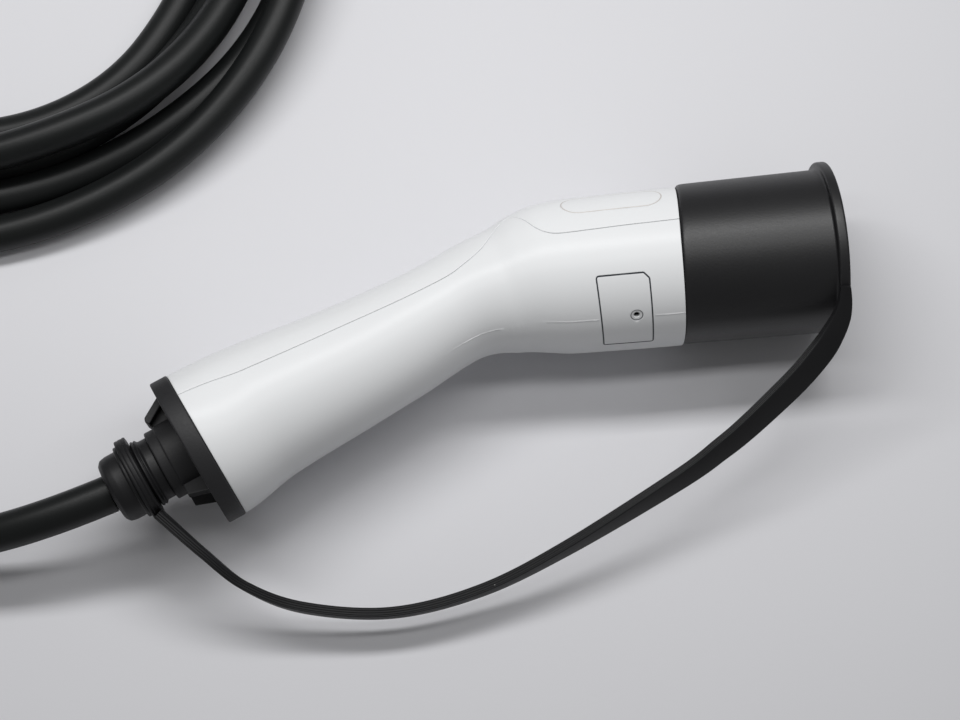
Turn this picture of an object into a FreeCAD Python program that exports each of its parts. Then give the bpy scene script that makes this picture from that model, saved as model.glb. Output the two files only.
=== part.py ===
import FreeCAD, Part

import math
import os

from FreeCAD import Placement, Rotation, Vector

# Charging lead for an electric car, in millimetres.
# A white gun with a rubber cap on its nose lies on its side on a table. Its black cable
# runs into a loose coil, and the plug for the wall socket lies on top of that coil.
#
# Both connectors are drawn in one frame of their own: the nose lies along +X, the grip
# leaves the origin backwards and bends down towards -Y, and +Z is the flank that faces up.

# Nose and grip of a connector
BEND_ANGLE = 24.0
NOSE_LENGTH = 68.0
NOSE_DIAMETER = 58.6
GRIP_LENGTH = 121.5
GRIP_END_DIAMETER = 58.6
SKIN_WALL = 2.5

# Sections of the grip and of the bend: where they lie along the axis (behind the bend is
# negative), how far they are turned, how far their middle hangs below the axis, and how
# high and wide they are
HEEL = (-99.0, 24.0, -0.4, 52.6, 51.0)
PALM = (-67.0, 24.0, 0.9, 46.8, 45.0)
FINGERS = (-44.0, 24.0, 1.4, 43.4, 42.5)
WAIST = (-21.0, 22.6, 1.5, 40.6, 42.5)
BEND = (0.0, 12.0, 3.7, 46.7, 47.5)
SHOULDER = (8.0, 4.6, 1.8, 51.2, 51.4)
BREAST = (16.0, 0.5, 0.1, 54.9, 54.9)
COLLAR = (27.0, 0.0, 0.0, 57.3, 57.3)
SECTION_COUNT = 21

# Seam between the two shells, seen from the side
SEAM_HEIGHT_HEEL = 13.4
SEAM_HEIGHT_PALM = 8.9
SEAM_HEIGHT_WAIST = 6.2
SEAM_PEAK_AT = 6.5
SEAM_PEAK_HEIGHT = 20.6
SEAM_PEAK_BACK = 9.0
SEAM_PEAK_FRONT = 8.0
SEAM_FOOT_FRONT = 17.0
SEAM_HEIGHT_NOSE = 8.6
SEAM_GAP = 0.15

# Marks moulded into the skin of the nose
MARK_DEPTH = 0.4
MARK_LINE = 0.6
PILL_LENGTH = 36.7
PILL_WIDTH = 13.0
PILL_START = 24.9
PILL_ANGLE = 47.8
PLATE_START = 34.2
PLATE_LENGTH = 19.2
PLATE_HEIGHT = 30.2
PLATE_ANGLE = -50.0
PLATE_CORNER = 2.4
PLATE_SMALL_CORNER = 0.9
DRAIN_AT = 47.7
DRAIN_ANGLE = -50.0
DRAIN_DIAMETER = 2.0
DRAIN_RIM_DIAMETER = 4.4

# Flange that closes the grip, with its neck, webs and screws
FLANGE_DIAMETER = 59.4
FLANGE_THICKNESS = 7.0
FLANGE_EDGE = 0.8
NECK_DIAMETER = 28.0
NECK_LENGTH = 7.8
NECK_STEP_DIAMETER = 26.7
NECK_STEP_LENGTH = 4.0
SPIGOT_DIAMETER = 30.0
SPIGOT_LENGTH = 9.0
SPIGOT_WALL = 2.4
WEB_THICKNESS = 2.4
WEB_REACH = 25.4
WEB_TOP_REACH = 19.4
WEB_LENGTH = 7.6
WEB_ANGLES = (72.0, 108.0, -55.0, -125.0)
FLANGE_SCREW_CIRCLE = 46.8
FLANGE_SCREW_ANGLES = (-12.0, 90.0, 192.0)
FLANGE_BOSS_DIAMETER = 7.0
FLANGE_BOSS_LENGTH = 13.0
SCREW_DIAMETER = 3.0
SCREW_HEAD_DIAMETER = 5.5
SCREW_HEAD_HEIGHT = 2.0
FLANGE_SCREW_LENGTH = 16.0

# Cable and gland
CABLE_DIAMETER = 14.0
CABLE_CLEARANCE = 0.25
LEAD_GAP = 1.0
LEAD_RISE = 6.0
GLAND_LENGTH = 20.0
GLAND_ROOT_DIAMETER = 23.6
GLAND_BEAD_DIAMETER = 26.0
GLAND_BEAD_AT = 4.0
GLAND_BEAD_LENGTH = 1.8
STRAP_RING_AT = 6.6
STRAP_RING_WIDTH = 4.2
STRAP_RING_DIAMETER = 31.5
GLAND_STEP_DIAMETER = 28.0
GLAND_STEP_LENGTH = 1.4
GLAND_END_DIAMETER = 25.4
GLAND_END_ROUND = 4.0
SEAL_LENGTH = 6.0
SEAL_DIAMETER = 20.0

# Nose of both connectors: a sheath with a flat crown, and the block that holds the contacts
SHEATH_DIAMETER = 55.8
SHEATH_LENGTH = 48.0
SHEATH_WALL = 3.0
SHEATH_FLAT_HEIGHT = 25.4
SPUR_DIAMETER = 52.2
SPUR_LENGTH = 18.0
BASE_THICKNESS = 5.0
BLOCK_DIAMETER = 42.6
BLOCK_RECESS = 3.0
BLOCK_RIM_THICKNESS = 4.0
PLATE_THICKNESS = 3.0
NOSE_SEAL_WIDTH = 3.0
NOSE_SEAL_DEPTH = 1.2
RETAINER_SCREW_CIRCLE = 46.4
RETAINER_SCREW_LENGTH = 10.0
FIT = 0.1

# Contacts
POWER_PIN_DIAMETER = 6.0
POWER_TUBE_DIAMETER = 8.4
SIGNAL_PIN_DIAMETER = 3.0
SIGNAL_TUBE_DIAMETER = 4.8
CONTACT_INSET = 4.0
CONTACT_LENGTH = 44.0
BARREL_LENGTH = 12.0
SLOT_WIDTH = 0.8
SLOT_LENGTH = 16.0
ROW_PITCH = 16.0
SIGNAL_ROW_HEIGHT = 12.4
SIGNAL_ROW_PITCH = 15.6
PIN_REACH = 34.0

# Wires inside the gun
POWER_CORE_DIAMETER = 4.2
SIGNAL_CORE_DIAMETER = 2.0
TAIL_INSIDE = 37.0

# Cord clamp
CLAMP_FROM_GRIP_END = 23.5
CLAMP_LENGTH = 8.0
CLAMP_SPAN = 31.0
CLAMP_HEIGHT = 11.0
CLAMP_GAP = 1.2
CLAMP_SCREW_SPACING = 23.0
CLAMP_SCREW_LENGTH = 16.0

# Rubber cap
CAP_GAP = 0.3
CAP_LENGTH = 56.2
CAP_OPEN_DIAMETER = 59.0
CAP_CLOSED_DIAMETER = 60.6
CAP_END = 3.2
CAP_LIP_DIAMETER = 66.0
CAP_LIP_WIDTH = 3.8
CAP_DISH = 3.6
CAP_EDGE = 0.6

# Strap between the gland and the lip of the cap
STRAP_THICKNESS = 3.5
STRAP_WIDTH = 8.0
STRAP_ROOT_ANGLE = -79.0
STRAP_ROOT_RUN = 3.0
STRAP_LIP_ANGLE = -41.5
STRAP_LIP_RUN = 12.0
STRAP_BOW = 59.1
STRAP_SAG = 29.2

# How the strap hangs: part of the way from its ring to the lip, and the parts of its full
# bow to the side and of its full sag at that place
STRAP_HANG = (
    (0.043, 0.31, 0.21),
    (0.085, 0.56, 0.51),
    (0.153, 0.77, 0.78),
    (0.269, 0.96, 0.95),
    (0.397, 1.00, 1.00),
    (0.530, 0.93, 0.90),
    (0.666, 0.81, 0.70),
    (0.792, 0.63, 0.58),
    (0.867, 0.46, 0.52),
    (0.939, 0.27, 0.43),
)

# Coil on the table, and the plug on top of it
COIL_X = -207.0
COIL_Y = 200.0
COIL_OUTER_RADIUS = 162.0
COIL_INNER_RADIUS = 107.0
COIL_HEIGHT = 28.0
COIL_EDGE = 6.0
PLUG_X = -155.0
PLUG_Y = 318.0
PLUG_TURN = -12.0
REST_GAP = 0.3

X_AXIS = Vector(1, 0, 0)
Z_AXIS = Vector(0, 0, 1)
ORIGIN = Vector(0, 0, 0)

AXIS_HEIGHT = CAP_LIP_DIAMETER / 2
PLUG_HEIGHT = COIL_HEIGHT + REST_GAP + FLANGE_DIAMETER / 2
FLANGE_BACK = GRIP_LENGTH + FLANGE_THICKNESS
CLAMP_AT = GRIP_LENGTH - CLAMP_FROM_GRIP_END
GLAND_START = FLANGE_BACK + NECK_LENGTH + NECK_STEP_LENGTH
GLAND_END = GLAND_START + GLAND_LENGTH
BLOCK_FRONT = NOSE_LENGTH + SHEATH_LENGTH - BLOCK_RECESS
BASE_BACK = NOSE_LENGTH - SPUR_LENGTH
BLOCK_BACK = BASE_BACK - BLOCK_RIM_THICKNESS
CONTACT_FRONT = BLOCK_FRONT - CONTACT_INSET
CONTACT_BACK = BLOCK_BACK - PLATE_THICKNESS - BARREL_LENGTH


def around_bend(angle, x, y, z=0.0):
    """A point given in a frame that is turned about the bend, in the connector's frame."""
    turned = Rotation(Z_AXIS, angle).multVec(Vector(x, y, z))
    return turned


def on_grip(shape):
    """Turn a piece drawn along -X onto the axis of the grip."""
    shape.rotate(ORIGIN, Z_AXIS, BEND_ANGLE)
    return shape


def at_angle(radius, angle):
    """Height and depth of a point round an axis, 0 on the upper flank and 90 on the crest."""
    return radius * math.sin(math.radians(angle)), radius * math.cos(math.radians(angle))


def turned(outline):
    """Solid of revolution about X from the corners of its half section, as (x, radius)."""
    corners = [Vector(x, radius, 0) for x, radius in outline]
    face = Part.Face(Part.makePolygon(corners + [corners[0]]))
    return face.revolve(ORIGIN, X_AXIS, 360)


def rod(radius, start, end, y=0.0, z=0.0):
    """Round bar parallel to X."""
    return Part.makeCylinder(radius, end - start, Vector(start, y, z), X_AXIS)


def skin_section(place, shrink):
    """Closed oval across the connector, as a smooth periodic curve through twelve points."""
    at, angle, drop, height, width = place
    steps = 12
    points = []
    for step in range(steps):
        around = 2 * math.pi * step / steps
        y = (height / 2 - shrink) * math.cos(around) - drop
        z = (width / 2 - shrink) * math.sin(around)
        points.append(around_bend(angle, at, y, z))
    curve = Part.BSplineCurve()
    curve.interpolate(Points=points, PeriodicFlag=True, Parameters=[step / steps for step in range(steps + 1)])
    return curve


def eased(table, at):
    """One row of values at a place along the axis, eased between the rows of a table."""
    last = len(table) - 1
    low = 0
    while low < last - 1 and at > table[low + 1][0]:
        low += 1
    row = [at]
    for column in range(1, len(table[0])):
        slopes = []
        for middle in (low, low + 1):
            if middle in (0, last):
                slopes.append(0.0)
                continue
            before, here, after = table[middle - 1], table[middle], table[middle + 1]
            rise_in = (here[column] - before[column]) / (here[0] - before[0])
            rise_out = (after[column] - here[column]) / (after[0] - here[0])
            same_way = rise_in * rise_out > 0
            slopes.append(2 * rise_in * rise_out / (rise_in + rise_out) if same_way else 0.0)
        span = table[low + 1][0] - table[low][0]
        part = (at - table[low][0]) / span
        start, end = table[low][column], table[low + 1][column]
        value = start + (end - start) * part * part * (3 - 2 * part)
        value += slopes[0] * span * part * (1 - part) ** 2 - slopes[1] * span * part * part * (1 - part)
        row.append(value)
    return row


def skin(shrink, beyond=0.0):
    """Solid inside the connector's outer skin, made smaller all round by shrink."""
    grip_end = (-GRIP_LENGTH, BEND_ANGLE, 0.0, GRIP_END_DIAMETER, GRIP_END_DIAMETER)
    nose_end = (NOSE_LENGTH, 0.0, 0.0, NOSE_DIAMETER, NOSE_DIAMETER)
    table = [grip_end, HEEL, PALM, FINGERS, WAIST, BEND, SHOULDER, BREAST, COLLAR, nose_end]
    places = []
    for step in range(SECTION_COUNT):
        at = -GRIP_LENGTH + (NOSE_LENGTH + GRIP_LENGTH) * step / (SECTION_COUNT - 1)
        places.append(eased(table, at))
    places[0][0] -= beyond
    places[-1][0] += beyond
    rings = [skin_section(place, shrink) for place in places]
    ring = rings[0]
    strands = []
    for row in zip(*[each.getPoles() for each in rings]):
        strand = Part.BSplineCurve()
        strand.interpolate(Points=list(row), Parameters=[place[0] for place in places])
        strands.append(strand)
    strand = strands[0]
    surface = Part.BSplineSurface()
    surface.buildFromPolesMultsKnots(
        [each.getPoles() for each in strands], ring.getMultiplicities(), strand.getMultiplicities(),
        ring.getKnots(), strand.getKnots(), True, False, ring.Degree, strand.Degree)
    side = surface.toShape()
    rims = [edge for edge in side.Edges if edge.isClosed()]
    ends = [Part.Face(Part.Wire(rim)) for rim in rims]
    shell = Part.Shell([side] + ends)
    shell.sewShape()
    return Part.Solid(shell)


def seam_side(raise_by):
    """Block that holds everything on the crest side of the seam."""
    beyond = 8.0
    points = [
        around_bend(BEND_ANGLE, -GRIP_LENGTH - beyond, SEAM_HEIGHT_HEEL + 0.6),
        around_bend(BEND_ANGLE, HEEL[0], 0.5 * (SEAM_HEIGHT_HEEL + SEAM_HEIGHT_PALM)),
        around_bend(BEND_ANGLE, PALM[0], SEAM_HEIGHT_PALM),
        around_bend(BEND_ANGLE, WAIST[0], SEAM_HEIGHT_WAIST),
        Vector(SEAM_PEAK_AT - SEAM_PEAK_BACK, 0.57 * SEAM_PEAK_HEIGHT, 0),
        Vector(SEAM_PEAK_AT, SEAM_PEAK_HEIGHT, 0),
        Vector(SEAM_PEAK_AT + SEAM_PEAK_FRONT, 0.59 * SEAM_PEAK_HEIGHT, 0),
        Vector(SEAM_PEAK_AT + SEAM_FOOT_FRONT, SEAM_HEIGHT_NOSE - 0.3, 0),
        Vector(SEAM_PEAK_AT + 2 * SEAM_FOOT_FRONT, SEAM_HEIGHT_NOSE, 0),
        Vector(NOSE_LENGTH + beyond, SEAM_HEIGHT_NOSE + 0.9, 0),
    ]
    curve = Part.BSplineCurve()
    curve.interpolate(Points=points)
    top = NOSE_DIAMETER
    front = Vector(points[-1].x, top, 0)
    back = Vector(points[0].x - top, top, 0)
    under = Vector(points[0].x - top, points[0].y, 0)
    edges = [curve.toShape()]
    for start, end in ((points[-1], front), (front, back), (back, under), (under, points[0])):
        edges.append(Part.makeLine(start, end))
    face = Part.Face(Part.Wire(edges))
    depth = NOSE_DIAMETER
    block = face.extrude(Vector(0, 0, 2 * depth))
    block.translate(Vector(0, raise_by, -depth))
    return block


def stood_out(face, angle):
    """Prism that carries a flat outline out through the skin at an angle round the nose."""
    prism = face.extrude(Vector(0, 0, NOSE_DIAMETER))
    prism.rotate(ORIGIN, X_AXIS, -angle)
    return prism


def pill_face(shrink):
    """Flat outline of a pill along the nose."""
    radius = PILL_WIDTH / 2 - shrink
    start = PILL_START + PILL_WIDTH / 2
    end = PILL_START + PILL_LENGTH - PILL_WIDTH / 2
    left = Vector(start - radius, 0, 0)
    right = Vector(end + radius, 0, 0)
    corners = [Vector(start, radius, 0), Vector(end, radius, 0)]
    corners += [Vector(end, -radius, 0), Vector(start, -radius, 0)]
    edges = [
        Part.makeLine(corners[0], corners[1]),
        Part.Arc(corners[1], right, corners[2]).toShape(),
        Part.makeLine(corners[2], corners[3]),
        Part.Arc(corners[3], left, corners[0]).toShape(),
    ]
    return Part.Face(Part.Wire(edges))


def plate_face(shrink):
    """Flat outline of the blank plate field: a rectangle with cut corners, one of them larger."""
    left = PLATE_START + shrink
    right = PLATE_START + PLATE_LENGTH - shrink
    top = PLATE_HEIGHT / 2 - shrink
    big = PLATE_CORNER
    small = PLATE_SMALL_CORNER
    corners = [
        Vector(left + small, top, 0), Vector(right - big, top, 0), Vector(right, top - big, 0),
        Vector(right, small - top, 0), Vector(right - small, -top, 0),
        Vector(left + small, -top, 0), Vector(left, small - top, 0), Vector(left, top - small, 0),
    ]
    return Part.Face(Part.makePolygon(corners + [corners[0]]))


def mark(face_of, angle):
    """Fine groove along an outline, cut to one depth into the curved skin of the nose."""
    ring = face_of(0.0).cut(face_of(MARK_LINE))
    return stood_out(ring, angle).cut(skin(MARK_DEPTH, 1.0))


def drain():
    """Hole through the flank with a dished rim, as one turned cutter."""
    dish_foot = NOSE_DIAMETER / 2 - 2 * MARK_DEPTH
    outside = NOSE_DIAMETER / 2 + SKIN_WALL
    inside = NOSE_DIAMETER / 2 - 2 * SKIN_WALL
    hole = DRAIN_DIAMETER / 2
    dish = DRAIN_RIM_DIAMETER / 2
    cutter = turned([
        (inside, 0.0), (inside, hole), (dish_foot, hole), (dish_foot, dish), (outside, dish), (outside, 0.0),
    ])
    cutter.rotate(ORIGIN, Vector(0, 1, 0), -90)
    cutter.rotate(ORIGIN, X_AXIS, -DRAIN_ANGLE)
    cutter.translate(Vector(DRAIN_AT, 0, 0))
    return cutter


def flange_boss(angle):
    """Screw post inside the end of the grip."""
    y, z = at_angle(FLANGE_SCREW_CIRCLE / 2, angle)
    start = -GRIP_LENGTH
    return on_grip(rod(FLANGE_BOSS_DIAMETER / 2, start, start + FLANGE_BOSS_LENGTH, y, z))


def flange_screw_hole(angle):
    """Space of one flange screw."""
    y, z = at_angle(FLANGE_SCREW_CIRCLE / 2, angle)
    end = -FLANGE_BACK + SCREW_HEAD_HEIGHT + FLANGE_SCREW_LENGTH + 1.0
    return on_grip(rod(SCREW_DIAMETER / 2, -FLANGE_BACK - 1.0, end, y, z))


def clamp_seat():
    """Half bearing moulded across the lower shell, under the cable."""
    size = NOSE_DIAMETER
    start = -CLAMP_AT - CLAMP_LENGTH / 2
    corner = Vector(start, -size, -CLAMP_SPAN / 2)
    seat = Part.makeBox(CLAMP_LENGTH, size - CLAMP_GAP / 2, CLAMP_SPAN, corner)
    seat = seat.cut(rod(CABLE_DIAMETER / 2 + FIT, start - 1, start + CLAMP_LENGTH + 1))
    for z in (-CLAMP_SCREW_SPACING / 2, CLAMP_SCREW_SPACING / 2):
        foot = Vector(-CLAMP_AT, CLAMP_HEIGHT - CLAMP_SCREW_LENGTH - 1, z)
        seat = seat.cut(Part.makeCylinder(SCREW_DIAMETER / 2, CLAMP_SCREW_LENGTH + 2, foot, Vector(0, 1, 0)))
    return on_grip(seat)


def shells(inner_parts, with_marks):
    """Lower and upper shell of a connector."""
    wall = skin(0.0).cut(skin(SKIN_WALL, 1.0))
    if with_marks:
        for angle in (PILL_ANGLE, 180.0 - PILL_ANGLE):
            wall = wall.cut(mark(pill_face, angle))
        wall = wall.cut(mark(plate_face, PLATE_ANGLE))
        wall = wall.cut(drain())
    crest_side = seam_side(SEAM_GAP)
    lower = wall.cut(seam_side(0.0))
    upper = wall.common(crest_side)
    room = skin(SKIN_WALL / 2)
    for angle in FLANGE_SCREW_ANGLES:
        boss = flange_boss(angle).common(room)
        if angle == 90.0:
            upper = upper.fuse(boss)
        else:
            lower = lower.fuse(boss)
    if inner_parts:
        lower = lower.fuse(clamp_seat().common(room))
    for angle in FLANGE_SCREW_ANGLES:
        hole = flange_screw_hole(angle)
        lower = lower.cut(hole)
        upper = upper.cut(hole)
    return lower.removeSplitter(), upper.removeSplitter()


def web(angle):
    """Stiffening web between the flange and its neck."""
    root = NECK_DIAMETER / 2 - 1.0
    back = -FLANGE_BACK
    corners = [
        Vector(back + 1.0, root, 0), Vector(back + 1.0, WEB_REACH, 0), Vector(back, WEB_REACH, 0),
        Vector(back - WEB_LENGTH, WEB_TOP_REACH, 0), Vector(back - WEB_LENGTH, root, 0),
    ]
    plate = Part.Face(Part.makePolygon(corners + [corners[0]])).extrude(Vector(0, 0, WEB_THICKNESS))
    plate.translate(Vector(0, 0, -WEB_THICKNESS / 2))
    plate.rotate(ORIGIN, X_AXIS, 90.0 - angle)
    return plate


def flange():
    """Rear flange, turned in one with its neck and spigot, with four webs."""
    front = -GRIP_LENGTH
    back = -FLANGE_BACK
    neck_end = back - NECK_LENGTH
    step_end = neck_end - NECK_STEP_LENGTH
    outer = FLANGE_DIAMETER / 2
    edge = FLANGE_EDGE
    bore = CABLE_DIAMETER / 2 + CABLE_CLEARANCE
    seal = SEAL_DIAMETER / 2 + FIT
    spigot = SPIGOT_DIAMETER / 2
    body = turned([
        (front + SPIGOT_LENGTH, spigot - SPIGOT_WALL), (front + SPIGOT_LENGTH, spigot),
        (front, spigot), (front, outer - edge), (front - edge, outer), (back + edge, outer),
        (back, outer - edge), (back, NECK_DIAMETER / 2), (neck_end, NECK_DIAMETER / 2),
        (neck_end, NECK_STEP_DIAMETER / 2), (step_end + edge, NECK_STEP_DIAMETER / 2),
        (step_end, NECK_STEP_DIAMETER / 2 - edge), (step_end, seal),
        (step_end + SEAL_LENGTH, seal), (step_end + SEAL_LENGTH, bore),
        (front, bore), (front, spigot - SPIGOT_WALL),
    ])
    for angle in WEB_ANGLES:
        body = body.fuse(web(angle))
    head = SCREW_HEAD_DIAMETER / 2 + 2 * FIT
    for angle in FLANGE_SCREW_ANGLES:
        y, z = at_angle(FLANGE_SCREW_CIRCLE / 2, angle)
        body = body.cut(rod(SCREW_DIAMETER / 2 + FIT, back - 1, front + 1, y, z))
        body = body.cut(rod(head, back - 1, back + SCREW_HEAD_HEIGHT, y, z))
    return on_grip(body.removeSplitter())


def screw(length):
    """Pan head screw with a cross slot, head at the origin and shank along +X."""
    head = rod(SCREW_HEAD_DIAMETER / 2, 0.0, SCREW_HEAD_HEIGHT)
    shank = rod(SCREW_DIAMETER / 2, SCREW_HEAD_HEIGHT, SCREW_HEAD_HEIGHT + length)
    solid = head.fuse(shank)
    arm = 0.6
    reach = 0.6 * SCREW_HEAD_DIAMETER
    depth = 0.5 * SCREW_HEAD_HEIGHT
    for across, deep in ((reach, arm), (arm, reach)):
        corner = Vector(-1.0, -across / 2, -deep / 2)
        solid = solid.cut(Part.makeBox(1.0 + depth, across, deep, corner))
    return solid.removeSplitter()


def flange_screws():
    """Three screws that hold the flange on the shells."""
    group = []
    for angle in FLANGE_SCREW_ANGLES:
        y, z = at_angle(FLANGE_SCREW_CIRCLE / 2, angle)
        one = screw(FLANGE_SCREW_LENGTH)
        one.translate(Vector(-FLANGE_BACK, y, z))
        group.append(on_grip(one))
    return Part.makeCompound(group)


def gland_nut():
    """Gland nut with a bead, a groove for the strap's ring, a step and a rounded end."""
    start = -GLAND_START
    end = -GLAND_END
    root = GLAND_ROOT_DIAMETER / 2
    bead = GLAND_BEAD_DIAMETER / 2
    bead_start = start - GLAND_BEAD_AT
    bead_end = bead_start - GLAND_BEAD_LENGTH
    ring_end = start - STRAP_RING_AT - STRAP_RING_WIDTH
    step_end = ring_end - GLAND_STEP_LENGTH
    tail = GLAND_END_DIAMETER / 2
    bore = CABLE_DIAMETER / 2 + CABLE_CLEARANCE
    chamfer = 0.4 * GLAND_BEAD_LENGTH
    round_points = []
    steps = 5
    for step in range(steps + 1):
        around = math.radians(90.0 * step / steps)
        x = end + GLAND_END_ROUND * (1 - math.sin(around))
        radius = tail - GLAND_END_ROUND * (1 - math.cos(around))
        round_points.append((x, radius))
    body = turned([
        (start, bore), (start, root), (bead_start + chamfer, root), (bead_start, bead),
        (bead_end, bead), (bead_end - chamfer, root), (ring_end, root),
        (ring_end, GLAND_STEP_DIAMETER / 2), (step_end, GLAND_STEP_DIAMETER / 2), (step_end, tail),
    ] + round_points + [(end, bore)])
    return on_grip(body)


def gland_seal():
    """Rubber bush squeezed round the cable in the neck."""
    start = -GLAND_START + SEAL_LENGTH - FIT
    return on_grip(turned([
        (-GLAND_START + FIT, CABLE_DIAMETER / 2), (-GLAND_START + FIT, SEAL_DIAMETER / 2),
        (start, SEAL_DIAMETER / 2), (start, CABLE_DIAMETER / 2),
    ]))


def cable_tail(inside):
    """End of the cable's jacket, from inside the grip to just inside the gland nut's mouth."""
    return on_grip(rod(CABLE_DIAMETER / 2, -GLAND_END + LEAD_GAP, -GRIP_LENGTH + inside))


def sheath():
    """Black sheath of the nose: a D-shaped tube on a spur that sits in the shells."""
    front = NOSE_LENGTH + SHEATH_LENGTH
    outer = SHEATH_DIAMETER / 2
    inner = outer - SHEATH_WALL
    hole = BLOCK_DIAMETER / 2 + FIT
    seal = SPUR_DIAMETER / 2 - NOSE_SEAL_DEPTH
    seal_end = NOSE_LENGTH - 4.0
    edge = CAP_EDGE
    body = turned([
        (BASE_BACK, hole), (BASE_BACK, SPUR_DIAMETER / 2), (seal_end - NOSE_SEAL_WIDTH, SPUR_DIAMETER / 2),
        (seal_end - NOSE_SEAL_WIDTH, seal), (seal_end, seal), (seal_end, SPUR_DIAMETER / 2),
        (NOSE_LENGTH, SPUR_DIAMETER / 2), (NOSE_LENGTH, outer), (front - edge, outer),
        (front, outer - edge), (front, inner), (BASE_BACK + BASE_THICKNESS, inner),
        (BASE_BACK + BASE_THICKNESS, hole),
    ])
    size = SHEATH_DIAMETER
    cut_away = Part.makeBox(SHEATH_LENGTH + 2, size, 2 * size, Vector(NOSE_LENGTH, SHEATH_FLAT_HEIGHT, -size))
    crown_corner = Vector(NOSE_LENGTH + BASE_THICKNESS, SHEATH_FLAT_HEIGHT - SHEATH_WALL, -size / 2)
    crown = Part.makeBox(SHEATH_LENGTH - BASE_THICKNESS, SHEATH_WALL, size, crown_corner)
    crown = crown.common(rod(outer - edge, NOSE_LENGTH, front))
    body = body.cut(cut_away).fuse(crown)
    for y, z in retainer_points():
        body = body.cut(rod(SCREW_DIAMETER / 2, BASE_BACK - 1, BASE_BACK + BASE_THICKNESS + 1, y, z))
    return body.removeSplitter()


def retainer_points():
    """Centres of the screws that hold the contact block, round the nose axis."""
    return [at_angle(RETAINER_SCREW_CIRCLE / 2, angle) for angle in (-90.0, 30.0, 150.0)]


def contact_places():
    """Each contact's name, place and pin diameter, seen along the nose."""
    return [
        ("line", 0.0, -ROW_PITCH, POWER_PIN_DIAMETER),
        ("earth", 0.0, 0.0, POWER_PIN_DIAMETER),
        ("neutral", 0.0, ROW_PITCH, POWER_PIN_DIAMETER),
        ("pilot", SIGNAL_ROW_HEIGHT, -SIGNAL_ROW_PITCH / 2, SIGNAL_PIN_DIAMETER),
        ("proximity", SIGNAL_ROW_HEIGHT, SIGNAL_ROW_PITCH / 2, SIGNAL_PIN_DIAMETER),
    ]


def tube_diameter(pin):
    """Outer diameter of the tube that takes a pin."""
    return POWER_TUBE_DIAMETER if pin == POWER_PIN_DIAMETER else SIGNAL_TUBE_DIAMETER


def contact_block(front, holes_through):
    """Insulating block with a bore for each contact and a rim that seats on the sheath."""
    rim = SPUR_DIAMETER / 2 - FIT
    body = turned([
        (BLOCK_BACK, 0.0), (BLOCK_BACK, rim), (BASE_BACK, rim), (BASE_BACK, BLOCK_DIAMETER / 2),
        (front - CAP_EDGE, BLOCK_DIAMETER / 2), (front, BLOCK_DIAMETER / 2 - CAP_EDGE), (front, 0.0),
    ])
    for name, y, z, pin in contact_places():
        bore = tube_diameter(pin) / 2 + FIT
        end = CONTACT_FRONT + FIT if holes_through else front + 1
        body = body.cut(rod(bore, BLOCK_BACK - 1, end, y, z))
        if holes_through:
            body = body.cut(rod(pin / 2 + 3 * FIT, BLOCK_BACK, front + 1, y, z))
    for y, z in retainer_points():
        body = body.cut(rod(SCREW_DIAMETER / 2 + FIT, BLOCK_BACK - 1, BASE_BACK + 1, y, z))
    flat = SHEATH_FLAT_HEIGHT - SHEATH_WALL - 3.0
    size = SHEATH_DIAMETER
    body = body.cut(Part.makeBox(size, size, 2 * size, Vector(BASE_BACK + BASE_THICKNESS, flat, -size)))
    return body.removeSplitter()


def retainer_plate():
    """Plate screwed on behind the block, which keeps the contacts in."""
    radius = SPUR_DIAMETER / 2 - FIT
    body = rod(radius, BLOCK_BACK - PLATE_THICKNESS, BLOCK_BACK)
    for name, y, z, pin in contact_places():
        body = body.cut(rod(barrel_radius(pin) + FIT, BLOCK_BACK - PLATE_THICKNESS - 1, BLOCK_BACK + 1, y, z))
    for y, z in retainer_points():
        body = body.cut(rod(SCREW_DIAMETER / 2 + FIT, BLOCK_BACK - PLATE_THICKNESS - 1, BLOCK_BACK + 1, y, z))
    return body


def retainer_screws():
    """Three screws through the plate and the block's rim into the sheath."""
    group = []
    for y, z in retainer_points():
        one = screw(RETAINER_SCREW_LENGTH)
        one.translate(Vector(BLOCK_BACK - PLATE_THICKNESS - SCREW_HEAD_HEIGHT, y, z))
        group.append(one)
    return Part.makeCompound(group)


def barrel_radius(pin):
    """Outer radius of the crimp barrel behind a contact."""
    return pin / 2


def core_radius(pin):
    """Radius of the wire that a contact takes."""
    return POWER_CORE_DIAMETER / 2 if pin == POWER_PIN_DIAMETER else SIGNAL_CORE_DIAMETER / 2


def socket_contact(y, z, pin):
    """Turned socket: a slotted tube in front, a solid waist and a crimp barrel behind."""
    tube = tube_diameter(pin) / 2
    barrel = barrel_radius(pin)
    crimp = core_radius(pin)
    waist = BLOCK_BACK
    depth = CONTACT_FRONT - PIN_REACH
    body = turned([
        (CONTACT_BACK, crimp), (CONTACT_BACK, barrel), (waist, barrel), (waist, tube),
        (CONTACT_FRONT, tube), (CONTACT_FRONT, pin / 2), (depth, pin / 2), (depth, 0.0),
        (CONTACT_BACK + BARREL_LENGTH, 0.0), (CONTACT_BACK + BARREL_LENGTH, crimp),
    ])
    corner = Vector(CONTACT_FRONT - SLOT_LENGTH, -tube - 1, -SLOT_WIDTH / 2)
    body = body.cut(Part.makeBox(SLOT_LENGTH + 1, 2 * tube + 2, SLOT_WIDTH, corner))
    body.translate(Vector(0, y, z))
    return body.removeSplitter()


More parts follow.
